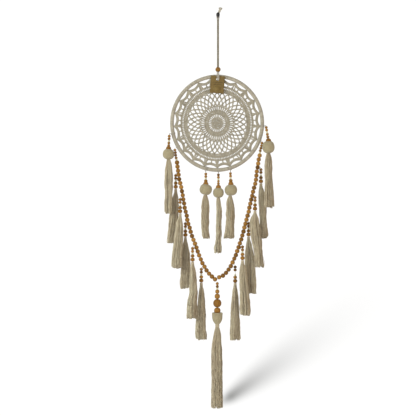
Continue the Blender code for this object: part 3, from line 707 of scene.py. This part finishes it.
def make_card():
    """Rays from the round hole to the square edge: front, edge, back and hole wall in one grid."""
    angle = round_angles(96)
    right, top, low = TAG_WIDTH / 2, TAG_HOLE_DOWN, TAG_HOLE_DOWN - TAG_HEIGHT
    with np.errstate(divide="ignore"):
        reach_x = right / np.abs(np.cos(angle))
        reach_z = np.where(np.sin(angle) > 0, top, -low) / np.abs(np.sin(angle))
    edge = np.minimum(reach_x, reach_z)
    radius = TAG_HOLE + (edge - TAG_HOLE) * np.linspace(0, 1, 9)[:, None]
    x, z = radius * np.cos(angle), radius * np.sin(angle)
    front, back = card_point(x, z, TAG_THICK / 2), card_point(x, z, -TAG_THICK / 2)
    shell = np.concatenate([front, back[::-1]])
    return put_grid("kraft_tag", shell[::-1], "tag", kraft_card, closed=True)


def kraft():
    """Brown kraft board: long paper fibres, darker flecks and a slightly worn surface."""
    material, tree, shader = new_material("kraft_card")
    place = object_place(tree)
    fibres = noise(tree, stretched(tree, place, (1.0, 1.0, 3.2)), 900.0, 5.0, 0.7)
    both = maths(tree, "MULTIPLY_ADD", noise(tree, place, 110.0, 3.0), 0.6, fibres)
    set_inputs(tree, shader, {
        "Base Color": colours(tree, both, (0.5, "#524118"), (1.0, "#765f31")),
        "Normal": bump(tree, fibres, 0.25), "Roughness": 0.85})
    return material


kraft_card = kraft()
tag_piece = make_card()
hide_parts("hang_tag")
PRINT_ROWS = (-7.4 * MM, -11.8 * MM)
PRINT_LEFT, PRINT_RIGHT = -10.5 * MM, 10.0 * MM


def printed_marks():
    """Plain printed dashes in two rows: thin plates of ink that say nothing."""
    random = np.random.default_rng(33)
    marks = []
    for z in PRINT_ROWS:
        x = PRINT_LEFT
        while x < PRINT_RIGHT:
            wide = random.uniform(1.0, 3.0) * MM
            marks.append((x + wide / 2, z, wide / 2, random.uniform(0.4, 0.9) * MM))
            x += wide + random.uniform(0.5, 1.2) * MM
    corners = np.array([(-1, -1), (1, -1), (1, 1), (-1, 1)])
    plates = []
    for x, z, half_x, half_z in marks:
        outline = np.array([(x, z)]) + corners * (half_x, half_z)
        plates.append([card_point(outline[:, 0], outline[:, 1], TAG_THICK / 2 + lift)
                       for lift in (0.02 * MM, 0.06 * MM)])
    return put_grid("tag_print", plates, "tag", printing_ink)


def round_patch():
    """The round printed patch under the rows: a thin disc of ink."""
    angle = round_angles(32)
    x, z = 9.5 * MM * np.cos(angle), -22.0 * MM + 7.5 * MM * np.sin(angle)
    rings = [card_point(x, z, TAG_THICK / 2 + lift) for lift in (0.02 * MM, 0.05 * MM)]
    return put_grid("tag_patch", rings, "tag", patch_ink)


def ink(name, code):
    """Matt printing ink soaked into board: the board's fibres show through as a mottle."""
    material, tree, shader = new_material(name)
    mottle = noise(tree, object_place(tree), 1300.0, 4.0)
    shade = remap(tree, mottle, 0.0, 1.0, 0.8, 1.25)
    set_inputs(tree, shader, {"Base Color": scaled(tree, srgb(code), shade), "Roughness": 0.8})
    return material


printing_ink = ink("brown_printing_ink", "#463716")
patch_ink = ink("pale_printing_ink", "#6f5a2b")
for print_piece in (printed_marks(), round_patch()):
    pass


def make_hitch(name, side):
    """One of the two cords: down from the bead, then a ring round the hoop through the card's hole."""
    x = side * HITCH_SPREAD
    turn = np.radians(np.linspace(*HITCH_ARC, 40))
    ring = xyz(x, -HITCH_RADIUS * np.sin(turn), HOOP_TOP + HITCH_RADIUS * np.cos(turn))
    start = hanger_middle[2] - 5.4 * MM
    entry = [(side * STRAND_OFF, 0, start), (side * 1.5 * MM, -0.5 * MM, start - 1.6 * MM)]
    path = resample(np.concatenate([entry, ring]), 0.4 * MM)
    rings = tube_rings(path, CORD / 2, 14, reference=(1, 0, 0), lobes=3, lay=CORD_LAY, depth=0.22)
    return put_grid(name, rings, "hitch", cord_cotton, tone=0.5)


for hitch_name, hitch_side, hitch_node in (("hitch_cord_left", -1, "cord_hitch_left"),
                                           ("hitch_cord_right", 1, "cord_hitch_right")):
    hitch_piece = make_hitch(hitch_name, hitch_side)
    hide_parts(hitch_node)

# ------------------------ tassels and pom-poms
# Tassels are hanks of soft spun yarn, folded, bound at the neck and cut at the foot; the pom-poms
# are balls of the same yarn, tied in the middle and trimmed round, with a bead sunk in the top.
STRAYS = 6                    # strands of a tassel that swing out
ROOT = 0.3 * MM               # the strands start this far above the neck
BINDING_PITCH = 1.15 * MM
TUFTS = 1700                  # on a pom-pom
tassel_cotton = cotton_yarn("tassel_yarn", "#8f7b60", "#b5a68a", "#cfc8a9", fibre=0.5, fuzz=0.8)
pompom_cotton = cotton_yarn("pompom_yarn", "#857961", "#9f9375", "#b4ab8c", fibre=0.45, fuzz=0.9)


def make_tassel(name, node, body, middle, table, depth, count, seed, clumps=13, ragged=0.075):
    """A skirt of strands that hang in clumps; rows of table are (share down, half width, sideways).

    x = middle + sideways(s) + half(s) u + waves, y = middle + deep(s) v + waves, where (u, v) is the
    strand's place in the skirt's section; each clump ends at a height of its own, and a few stray
    strands swing out near the foot.
    """
    random = np.random.default_rng(seed)
    low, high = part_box(node)
    length = high[2] - low[2] + ROOT
    clump_u = np.linspace(-0.80, 0.80, clumps) + random.normal(0, 0.05, clumps)
    clump_v = random.uniform(-0.75, 0.75, clumps) * np.sqrt(1 - np.clip(clump_u, -0.95, 0.95) ** 2)
    member = random.integers(0, clumps, count)
    u = clump_u[member] + random.normal(0, 0.15, count)
    v = clump_v[member] + random.normal(0, 0.36, count)
    over = np.maximum(1.0, np.hypot(u, v))
    u, v = u / over, v / over
    cut_off = 0.6 * random.uniform(0, 1, clumps)[member] + 0.4 * random.beta(1, 2.5, count)
    long = 1.0 - ragged * cut_off
    share = np.linspace(0, 1, 26)[None] * long[:, None]
    rows = np.array(table)
    half = np.interp(share, rows[:, 0], rows[:, 1]) * MM
    sideways = np.interp(share, rows[:, 0], rows[:, 2]) * MM
    deep = np.interp(share, [0.0, 0.08, 0.30, 1.0], [2.6, 3.2, depth * 0.9, depth]) * MM
    opening = np.clip(share * 6 - 0.3, 0, 1) * MM

    def waves(size, own):
        """Sideways waves: slow ones shared by a clump, quicker small ones for each strand."""
        phase, speed = random.uniform(0, math.tau, clumps), random.uniform(5, 10, clumps)
        shared = size * np.sin(share * speed[member][:, None] + phase[member][:, None])
        alone = own * np.sin(share * random.uniform(20, 40, (count, 1))
                             + random.uniform(0, math.tau, (count, 1)))
        return (shared + alone) * opening

    swing = np.zeros((count, 1))
    swing[:STRAYS, 0] = random.choice([-1, 1], STRAYS) * random.uniform(2.0, 5.5, STRAYS) * MM
    x = middle[0] + sideways + half * u[:, None] + waves(1.0, 0.55) + swing * share ** 7
    y = middle[1] + deep * v[:, None] + waves(0.8, 0.4)
    z = high[2] + ROOT - length * share
    thick = np.interp(share, [0, 0.06, 0.2, 0.94, 1], [0.40, 0.42, 0.56, 0.56, 0.42]) * MM
    rings = tube_rings(xyz(x, y, z), thick, 3)
    # Each clump and strand has a random tone. The - 0.08 u term makes strands on the left side lighter
    # and those on the right darker: painted light and shade, as from the window on the left.
    tone = 0.5 + random.normal(0, 0.09, clumps)[member] + random.normal(0, 0.09, count) - 0.08 * u
    piece = put_grid(name, rings, body, tassel_cotton, tone=np.clip(tone, 0, 1)[:, None, None])
    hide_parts(node)


def bind_neck(name, body, middle, top, height, radius, tone):
    """The binding: a helix of yarn wound closely round the tassel's neck."""
    turns = max(3, int(height / BINDING_PITCH))
    sweep = np.linspace(0, math.tau * turns, 16 * turns)
    share = np.linspace(0, 1, len(sweep))
    size = radius * (0.96 + 0.06 * np.sin(share * math.pi))
    path = xyz(middle[0] + size * np.cos(sweep), middle[1] + size * np.sin(sweep),
               top - 0.5 * MM - (height - 1.0 * MM) * share)
    piece = put_grid(name, tube_rings(path, 0.62 * MM, 6, reference=(0, 0, 1)), body, tassel_cotton,
                     tone=tone)


def ball_outline(power=2.35):
    """The outline of a slightly square ball: r^n + |z|^n = 1, from its top to its foot."""
    angle = np.linspace(0, math.pi, 41)
    reach = (np.sin(angle) ** power + np.abs(np.cos(angle)) ** power) ** (1 / power)
    return np.stack([np.sin(angle), np.cos(angle)], -1) / reach[:, None]


def make_pompom(name, node, body, middle, half_width, half_height, seed, outline, tilt=0.0):
    """A trimmed ball: a solid core, and short tufts that stand on it close together.

    The outline is a turned profile of unit (radius, height) points; tufts are spread evenly over its
    area along a golden-angle spiral, and slow waves keep it from being perfectly round.
    """
    random = np.random.default_rng(seed)
    profile = np.array(outline, float)
    steps = line_steps(profile)
    along = np.concatenate([[0], np.cumsum(steps)]) / steps.sum()
    area = np.concatenate([[0], np.cumsum(steps * (profile[1:, 0] + profile[:-1, 0]) / 2)])
    area = (area + 0.002 * along) / (area[-1] + 0.002)
    waves = [(random.normal(0, 1, 3), random.uniform(0, math.tau)) for _ in range(6)]
    lean = math.radians(tilt)
    size = (half_width, half_width, half_height)

    def place(share, azimuth, scale):
        """A point of the outline at a share of the way down the profile and an angle round it."""
        flat = np.interp(share, along, profile[:, 0])
        up = np.interp(share, along, profile[:, 1])
        point = xyz(flat * np.cos(azimuth), flat * np.sin(azimuth) * 0.96, up)
        ripple = sum(np.sin(point @ (2.4 * way) + phase) for way, phase in waves) / 6
        point = point * (scale * (1 + 0.025 * ripple))[..., None] * size
        x, y, z = np.moveaxis(point, -1, 0)
        return middle + xyz(x * math.cos(lean) + z * math.sin(lean), y,
                            z * math.cos(lean) - x * math.sin(lean))

    down, turn = np.meshgrid(np.linspace(0.01, 0.99, 26), round_angles(40), indexing="ij")
    core = put_grid(name + "_core", place(down, turn, 0.988)[::-1], body, pompom_cotton, tone=0.5)
    share = np.interp((np.arange(TUFTS) + 0.5) / TUFTS, area, along)
    golden = np.arange(TUFTS) * math.pi * (3 - math.sqrt(5)) + random.normal(0, 0.05, TUFTS)
    root = place(share, golden, 0.95)
    tip = place(share, golden, random.normal(0.998, 0.003, TUFTS))
    tip = tip + random.normal(0, 0.05, (TUFTS, 3)) * MM
    path = root[:, None] + (tip - root)[:, None] * np.array([0.0, 0.7, 1.0])[:, None]
    across = unit(np.cross(tip - root, (0.31, 0.52, 0.79)))
    rings = tube_rings(path, np.array([0.66, 0.72, 0.45]) * MM, 5, reference=across[:, None, :])
    tone = np.clip(0.56 + random.normal(0, 0.08, TUFTS), 0, 1)[:, None, None]
    pile = put_grid(name + "_pile", rings, body, pompom_cotton, tone=tone)
    piece = join_pieces(name, [pile, core])
    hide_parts(node)


def make_stem(name, node, body, start, end, beads, seed):
    """A beaded thread: beads are (distance down, radius, length, is a spacer) along a straight line."""
    path = start + (end - start) * np.linspace(0, 1, 41)[:, None]
    thread = put_thread(name + "_thread", path, 0.55 * MM, 2.4 * MM, body)
    way = unit(end - start)
    for spacer, material, label in ((False, bead_wood, "_beads"), (True, spacer_bone, "_spacer")):
        down, radii, lengths = np.array([b[:3] for b in beads if b[3] is spacer]).T
        group = thread_beads(name + label, start + way * down[:, None], [way] * len(down), radii,
                             lengths, body, material, seed + spacer)
        if not spacer:
            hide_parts(node)


# ------------------------ drops on the hoop
# Five short drops hang straight from thread rings tied round the hoop: three under it and one at
# each side. Each is a thread of small beads, a dome bead sunk in a pom-pom, and a tassel.
SPACER_RADIUS, SPACER_LENGTH = 2.9 * MM, 3.4 * MM
FULLER = 1.17                 # small beads are a little wider than they are long
DOME = 6.2 * MM
BARE_THREAD = 4.0 * MM        # from the thread's start to the first bead's middle
SIDE_TIE_IN = 0.985           # a side drop is tied a little nearer to the middle than it hangs
SIDE_TIE_FRONT = -3.5 * MM
# In millimetres: heights and radii of the beads (a spacer has radius 0), the dome bead's height, the
# pom-pom's centre, half width, half height and tilt, and for a side drop the X of its first bead.
DROPS = {
    "bottom_left": dict(
        beads=[(-366.0, 2.9), (-371.9, 2.9), (-376.6, 0), (-382.2, 3.7)], dome=-389.9,
        pom=(-28.1, 0.0, -401.6, 14.2, 12.6, 16), strands=360,
        skirt=[(0, 3.8, -0.9), (0.067, 6.2, -0.6), (0.14, 7.6, -0.4), (0.38, 9.0, -1.3),
               (0.5, 9.4, -1.8), (0.63, 9.0, -1.5), (0.81, 7.9, 0.0), (0.93, 8.4, 1.2),
               (1, 7.8, 2.8)]),
    "bottom_middle": dict(
        beads=[(-367.9, 2.9), (-373.8, 2.9), (-378.4, 0), (-382.8, 2.7), (-388.4, 2.9)], dome=-397.2,
        pom=(0.9, 0.0, -409.2, 12.4, 11.6, 0), strands=288,
        skirt=[(0, 3.6, -0.2), (0.06, 5.0, 0.0), (0.15, 5.5, 0.6), (0.25, 6.3, 1.8),
               (0.44, 5.6, 1.9), (0.64, 5.8, 1.3), (0.73, 5.4, -0.1), (0.83, 6.6, -1.5),
               (0.90, 9.4, -1.5), (1, 8.4, -0.9)]),
    "bottom_right": dict(
        beads=[(-365.0, 2.9), (-370.9, 2.9), (-375.6, 0), (-381.4, 3.8)], dome=-389.7,
        pom=(29.6, 0.0, -402.9, 14.2, 12.9, -6), strands=408,
        skirt=[(0, 3.6, -1.2), (0.06, 5.9, -2.0), (0.125, 7.4, -1.8), (0.375, 9.6, -0.9),
               (0.5, 10.6, -0.4), (0.75, 11.0, -2.2), (0.875, 11.4, -3.4), (1, 12.0, -4.4)]),
    "side_left": dict(
        beads=[(-279.5, 3.0), (-285.6, 3.0), (-290.4, 0), (-295.1, 2.9), (-301.0, 3.0)], dome=-308.6,
        foot=-112.0, pom=(-113.6, -6.0, -320.6, 13.2, 12.3, 4), strands=360,
        skirt=[(0, 3.6, 0.0), (0.06, 6.0, 0.6), (0.16, 7.6, 1.0), (0.4, 8.6, 0.4), (0.6, 8.0, 0.6),
               (0.8, 8.6, -0.4), (1, 7.4, 0.4)]),
    "side_right": dict(
        beads=[(-259.4, 3.0), (-265.5, 3.0), (-270.3, 0), (-275.2, 3.0), (-281.3, 3.1)], dome=-290.4,
        foot=110.6, pom=(115.8, -6.0, -304.4, 14.0, 14.4, -5), strands=408,
        skirt=[(0, 3.8, 0.0), (0.06, 6.4, 0.2), (0.16, 7.8, 0.4), (0.4, 8.4, 0.6), (0.6, 9.2, 0.8),
               (0.8, 9.8, 1.2), (1, 11.0, 1.8)]),
}


def make_drop(number, side, plan):
    """One drop: its lead from the tie ring, its beads down to the dome, its pom-pom and its tassel."""
    x, y, z, half_width, half_height, tilt = plan["pom"]
    middle = np.array((x, y, z)) * MM
    pivot = joint_place[f"drop_{side}_swing"]
    foot_x = plan.get("foot", pivot[0] / MM)
    dome = np.array((x, y, plan["dome"])) * MM
    first = np.array((foot_x, y, plan["beads"][0][0])) * MM
    way = unit(dome - first)
    start = first - way * BARE_THREAD
    beads = []
    for height, radius in plan["beads"]:
        size = ((FULLER * radius * MM, 2.06 * radius * MM, False) if radius
                else (SPACER_RADIUS, SPACER_LENGTH, True))
        beads.append(((start[2] - height * MM) / -way[2], *size))
    beads.append(((start[2] - dome[2]) / -way[2], DOME, 2 * DOME, False))
    make_stem(f"drop_{side}_string", f"drop_{side}_stem", f"drop_{side}", start, dome, beads,
              300 + 7 * number)
    top = pivot - np.array((0, 0, WRAP_RADIUS + 0.9 * MM))
    if "foot" in plan:
        top = np.array((foot_x * SIDE_TIE_IN * MM, SIDE_TIE_FRONT, pivot[2]))
    lead = top + (start - top) * np.linspace(0, 1, 12)[:, None]
    hook = put_thread(f"drop_{side}_lead", lead, 1.15 * MM, 3.4 * MM, f"drop_{side}", tone=0.55)
    node = f"drop_{side}_tassel"
    make_pompom(f"drop_{side}_ball", f"drop_{side}_pompom", node, middle, half_width * MM,
                half_height * MM, 400 + number, ball_outline(), tilt)
    make_tassel(f"drop_{side}_skirt", node, node, middle, plan["skirt"], 6.0, plan["strands"],
                500 + number)


for drop_number, (drop_side, drop_plan) in enumerate(DROPS.items()):
    make_drop(drop_number, drop_side, drop_plan)
tie_angles = {"tie_bottom_left": 255.5, "tie_bottom_middle": 271.6, "tie_bottom_right": 287.15,
              "tie_side_left": 192.7, "tie_side_right": 356.9, "tie_garland_left": 210.0,
              "tie_garland_right": 338.7}
for tie_name, tie_angle in tie_angles.items():
    tie = hoop_loops(tie_name + "_thread", np.radians([tie_angle]), WRAP_RADIUS + 0.45 * MM, 0.65 * MM,
                     cord_cotton)
    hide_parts(tie_name)

# ------------------------ garland
# Two threads of round beads, tied to the hoop left and right, sag to meet at the bottom. Each starts
# with four small beads and a spacer, then about thirty beads of 10 mm that touch each other.
GARLAND_FEET = {"left": (-2.4, -610.7), "right": (-1.6, -604.9)}
GARLAND_SHAPE = {
    "left": [(1.0, 0.0), (0.994, 0.022), (0.972, 0.068), (0.942, 0.126), (0.906, 0.221),
             (0.844, 0.306), (0.795, 0.397), (0.716, 0.518), (0.624, 0.636), (0.488, 0.753),
             (0.345, 0.867), (0.188, 0.949), (0.086, 0.982), (0.0, 1.0)],
    "right": [(1.0, 0.0), (0.985, 0.020), (0.966, 0.052), (0.948, 0.072), (0.917, 0.131),
              (0.884, 0.201), (0.842, 0.297), (0.774, 0.389), (0.713, 0.481), (0.648, 0.576),
              (0.577, 0.662), (0.470, 0.778), (0.370, 0.863), (0.245, 0.943), (0.115, 0.985),
              (0.0, 1.0)],
}
STRAND_BEAD = 5.15 * MM
STRAND_PITCH = 9.55 * MM      # as near to this as a whole number of beads allows
SMALL_BEAD = 2.95 * MM
KNOT_ROOM = 1.2 * MM          # bare thread at the tie


def make_strand(side, seed):
    """One strand: beads at even distances along a thread, each a little off it, as if strung loosely."""
    random = np.random.default_rng(seed)
    angle = math.radians(tie_angles[f"tie_garland_{side}"])
    top = hoop_point(angle) + hoop_outward(angle) * 8.2 * MM
    foot = np.array((GARLAND_FEET[side][0], 0, GARLAND_FEET[side][1])) * MM
    route = [(foot[0] + (top[0] - foot[0]) * a, 0.0, top[2] + (foot[2] - top[2]) * d)
             for a, d in GARLAND_SHAPE[side]]
    path = resample(route, 0.5 * MM)
    thread = put_thread(f"garland_{side}_thread", path, 0.8 * MM, 3 * MM, "garland", depth=0.2)
    length = float(line_steps(path).sum())
    tangent = unit(np.gradient(path, axis=0))

    def at(distance):
        """Points of the thread, and its direction there, at distances along it."""
        place = np.interp(distance, np.linspace(0, length, len(path)), np.arange(len(path)))
        index = np.clip(np.round(place).astype(int), 0, len(path) - 1)
        return path[index], tangent[index]

    small = KNOT_ROOM + 2 * SMALL_BEAD * (np.arange(4) + 0.5)
    spacer = KNOT_ROOM + 8 * SMALL_BEAD + SPACER_LENGTH / 2
    first = spacer + SPACER_LENGTH / 2
    count = int(round((length - first) / STRAND_PITCH))
    pitch = (length - first) / count
    large = first + pitch * (np.arange(count) + 0.5)
    places, ways = at(np.concatenate([small, large]))
    radii = np.concatenate([np.full(4, FULLER * SMALL_BEAD),
                            STRAND_BEAD * random.normal(1, 0.025, count)])
    lengths = np.concatenate([np.full(4, 2 * SMALL_BEAD), np.full(count, pitch * 1.03)])
    off = np.cross(ways, (0, 1, 0)) * random.normal(0, 0.35, (len(places), 1)) * MM
    ways = ways + random.normal(0, 0.06, ways.shape)
    beads = thread_beads(f"garland_{side}_beads", places + off, ways, radii, lengths, "garland",
                         bead_wood, seed + 1)
    spot, way = at(np.array([spacer]))
    ring = thread_beads(f"garland_{side}_spacer", spot, way, [SPACER_RADIUS], [SPACER_LENGTH],
                        "garland", spacer_bone, seed + 2)
    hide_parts(f"garland_{side}")


make_strand("left", 610)
make_strand("right", 620)

# ------------------------ fringe
# Ten short drops tied along the garland, in turn behind it and in front of it, five on each side:
# two small beads, a spacer, two larger beads and a tassel.
FRINGE_SKIRTS = {
    "left": (
        [(0, 2.8, 0), (0.06, 3.2, 0), (0.14, 6.0, -0.5), (0.3, 8.2, -2.2), (0.5, 9.6, -4.2),
         (0.7, 10.2, -6.5), (0.85, 11.2, -8.2), (1, 11.0, -9.5)],
        [(0, 2.8, 0), (0.06, 3.2, 0), (0.14, 6.2, -0.8), (0.3, 8.6, -2.0), (0.5, 9.4, -4.0),
         (0.7, 11.0, -5.4), (0.88, 12.0, -6.6), (1, 11.4, -7.0)],
        [(0, 2.8, 0), (0.06, 3.2, 0), (0.14, 6.0, 0.2), (0.3, 8.4, 0.8), (0.5, 10.2, 0.0),
         (0.7, 11.2, -0.6), (0.88, 10.6, -1.6), (1, 10.2, -1.4)],
        [(0, 3.0, 0), (0.06, 3.4, 0), (0.11, 5.6, 0), (0.2, 7.0, 1.0), (0.32, 8.6, 1.6),
         (0.45, 8.4, 2.4), (0.55, 8.6, 3.0), (0.66, 10.6, -0.5), (0.76, 11.0, -1.1),
         (0.9, 11.8, -1.5), (1, 11.0, -2.6)],
        [(0, 3.0, 0), (0.075, 3.4, 0), (0.13, 5.4, 0.7), (0.24, 7.2, 0.0), (0.35, 8.0, -0.5),
         (0.46, 9.0, -0.3), (0.57, 10.2, -0.4), (0.78, 11.4, -0.7), (0.89, 12.8, 0.4),
         (1, 12.2, 1.2)]),
    "right": (
        [(0, 2.8, 0), (0.06, 3.2, 0), (0.14, 6.0, 1.0), (0.3, 8.6, 2.4), (0.5, 8.0, 4.4),
         (0.66, 7.0, 6.0), (0.8, 7.8, 6.8), (0.92, 8.8, 7.4), (1, 7.4, 7.4)],
        [(0, 3.0, 0), (0.05, 3.2, 0), (0.10, 7.4, -0.5), (0.18, 10.8, -0.6), (0.27, 12.0, -0.3),
         (0.4, 12.4, 0.8), (0.6, 11.0, 4.6), (0.75, 9.0, 8.2), (0.88, 10.4, 9.6), (1, 11.0, 10.4)],
        [(0, 2.8, 0), (0.06, 3.4, 0), (0.14, 6.6, 1.0), (0.3, 9.6, 2.6), (0.5, 10.8, 4.0),
         (0.7, 11.6, 4.8), (0.88, 12.2, 5.4), (1, 11.6, 5.6)],
        [(0, 2.8, 0), (0.06, 3.4, 0), (0.14, 6.4, 0.8), (0.3, 8.8, 2.4), (0.5, 10.0, 4.2),
         (0.7, 11.0, 5.2), (0.88, 11.4, 6.0), (1, 10.6, 6.4)],
        [(0, 3.0, 0), (0.06, 3.4, 0), (0.14, 6.0, -0.4), (0.3, 8.0, -0.4), (0.5, 9.4, 0.4),
         (0.7, 10.8, 1.2), (0.88, 11.8, 0.6), (1, 12.2, 0.2)]),
}
TIE_REACH = (3.2 * MM, 4.2 * MM, 2.6 * MM)
# Bare thread above each spacer, in millimetres.
FRINGE_BARE = {"left": (0.5, 1.5, 0.5, 0.0, 0.4), "right": (1.3, 0.0, 0.0, 0.0, 6.5)}


FRINGE_BEADS = ((3.25, 6.6, False), (3.25, 6.6, False), (2.5, 3.4, True), (3.75, 7.6, False),
                (4.3, 9.0, False))


def bead_row(down, plan, fuller=1.0, bare=0.0):
    """Beads in a row for make_stem, from (radius, length, is a spacer) in mm, and the row's end."""
    beads = []
    for radius, length, spacer in plan:
        down += bare * MM * spacer
        beads.append((down + length / 2 * MM, fuller * radius * MM, length * MM, spacer))
        down += length * MM
    return beads, down


def make_fringe(side, number):
    """One fringe drop: a tie to the strand, beads, and a bound tassel."""
    name = f"fringe_{side}_{number}"
    pivot = joint_place[f"{name}_swing"]
    beads, down = bead_row(0.8 * MM, FRINGE_BEADS, FULLER, FRINGE_BARE[side][number - 1])
    foot = pivot - np.array((0, 0, down + 2 * MM))
    seed = 700 + 10 * number + (side == "right") * 100
    make_stem(f"{name}_string", f"{name}_stem", name, pivot, foot, beads, seed)
    towards = (1 if side == "left" else -1, 1 if pivot[1] < 0 else -1, 1)
    to_strand = np.array(TIE_REACH) * towards
    # The tie thread's darker tone (0.3) is painted shade: it makes the thread read as a line of shade.
    hook = pivot + to_strand * np.linspace(0, 1, 8)[:, None]
    tie_thread = put_grid(f"{name}_tie", tube_rings(hook, 0.4 * MM, 6, reference=(0, 0, 1)), name,
                          cord_cotton, tone=0.3)
    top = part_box(f"{name}_tassel")[1][2]
    middle = np.array((pivot[0], pivot[1], top))
    make_tassel(f"{name}_skirt", f"{name}_tassel", name, middle, FRINGE_SKIRTS[side][number - 1], 6.2,
                400, seed + 5)
    bind_neck(f"{name}_binding", name, middle, top + 0.5 * MM, 5.0 * MM, 2.9 * MM,
              0.45 + 0.02 * (number % 5))


for fringe_side in ("left", "right"):
    for fringe_number in range(1, 6):
        make_fringe(fringe_side, fringe_number)

# ------------------------ pendant
# The middle drop, where the two strands meet: beads that grow to a 20 mm one, a cup bead sunk in a
# long pom-pom with a flat top, and the longest tassel.
PENDANT_BEADS = ((3.6, 6.6, False), (3.6, 6.6, False), (2.9, 3.4, True), (4.9, 9.6, False),
                 (6.3, 12.5, False))


PENDANT_OUTLINE = [(0.0, 0.86), (0.5, 0.93), (0.86, 1.0), (0.98, 0.97), (1.0, 0.85), (0.99, 0.4),
                   (0.97, 0.0), (0.86, -0.35), (0.66, -0.66), (0.46, -0.88), (0.3, -0.98),
                   (0.0, -1.0)]
PENDANT_SKIRT = [(0, 3.6, 0), (0.03, 3.8, 0), (0.06, 6.2, 0.2), (0.12, 8.6, 0.4),
                 (0.25, 11.0, -1.0), (0.44, 11.8, -0.6), (0.6, 12.0, -0.4), (0.75, 12.2, -0.4),
                 (0.9, 13.4, -0.4), (1, 13.8, 0.4)]


def make_pendant():
    """The middle drop: its beads, the two big beads, the pom-pom and the tassel."""
    pivot = joint_place["pendant_swing"]
    ball = np.array(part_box("pendant_pompom"))
    make_stem("pendant_string", "pendant_stem", "pendant", np.array((pivot[0], 0, pivot[2])),
              np.array((pivot[0], 0, ball[1, 2])), bead_row(1.5 * MM, PENDANT_BEADS)[0], 900)
    for name, radius, shade in (("pendant_big_bead", 9.9 * MM, 0.40),
                                ("pendant_cup_bead", 7.8 * MM, 0.55)):
        bead = thread_beads(name + "_wood", [np.mean(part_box(name), axis=0)], [(0, 0, -1)], [radius],
                            [2 * radius], "pendant", bead_wood, 910, shades=[shade], square=2.1)
        smooth = bead.modifiers.new("fine", "SUBSURF")
        smooth.levels = smooth.render_levels = 1
        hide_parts(name)
    middle = ball.mean(axis=0) * (1, 0, 1)
    make_pompom("pendant_ball", "pendant_pompom", "pendant_tassel", middle, 12.0 * MM, 13.8 * MM, 920,
                PENDANT_OUTLINE)
    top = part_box("pendant_tassel")[1][2]
    neck = np.array((pivot[0], 0.0, top))
    make_tassel("pendant_skirt", "pendant_tassel", "pendant_tassel", neck, PENDANT_SKIRT, 8.0, 620, 930,
                clumps=17, ragged=0.08)
    bind_neck("pendant_binding", "pendant_tassel", neck, top + 1.5 * MM, 8.0 * MM, 4.3 * MM, 0.51)


make_pendant()
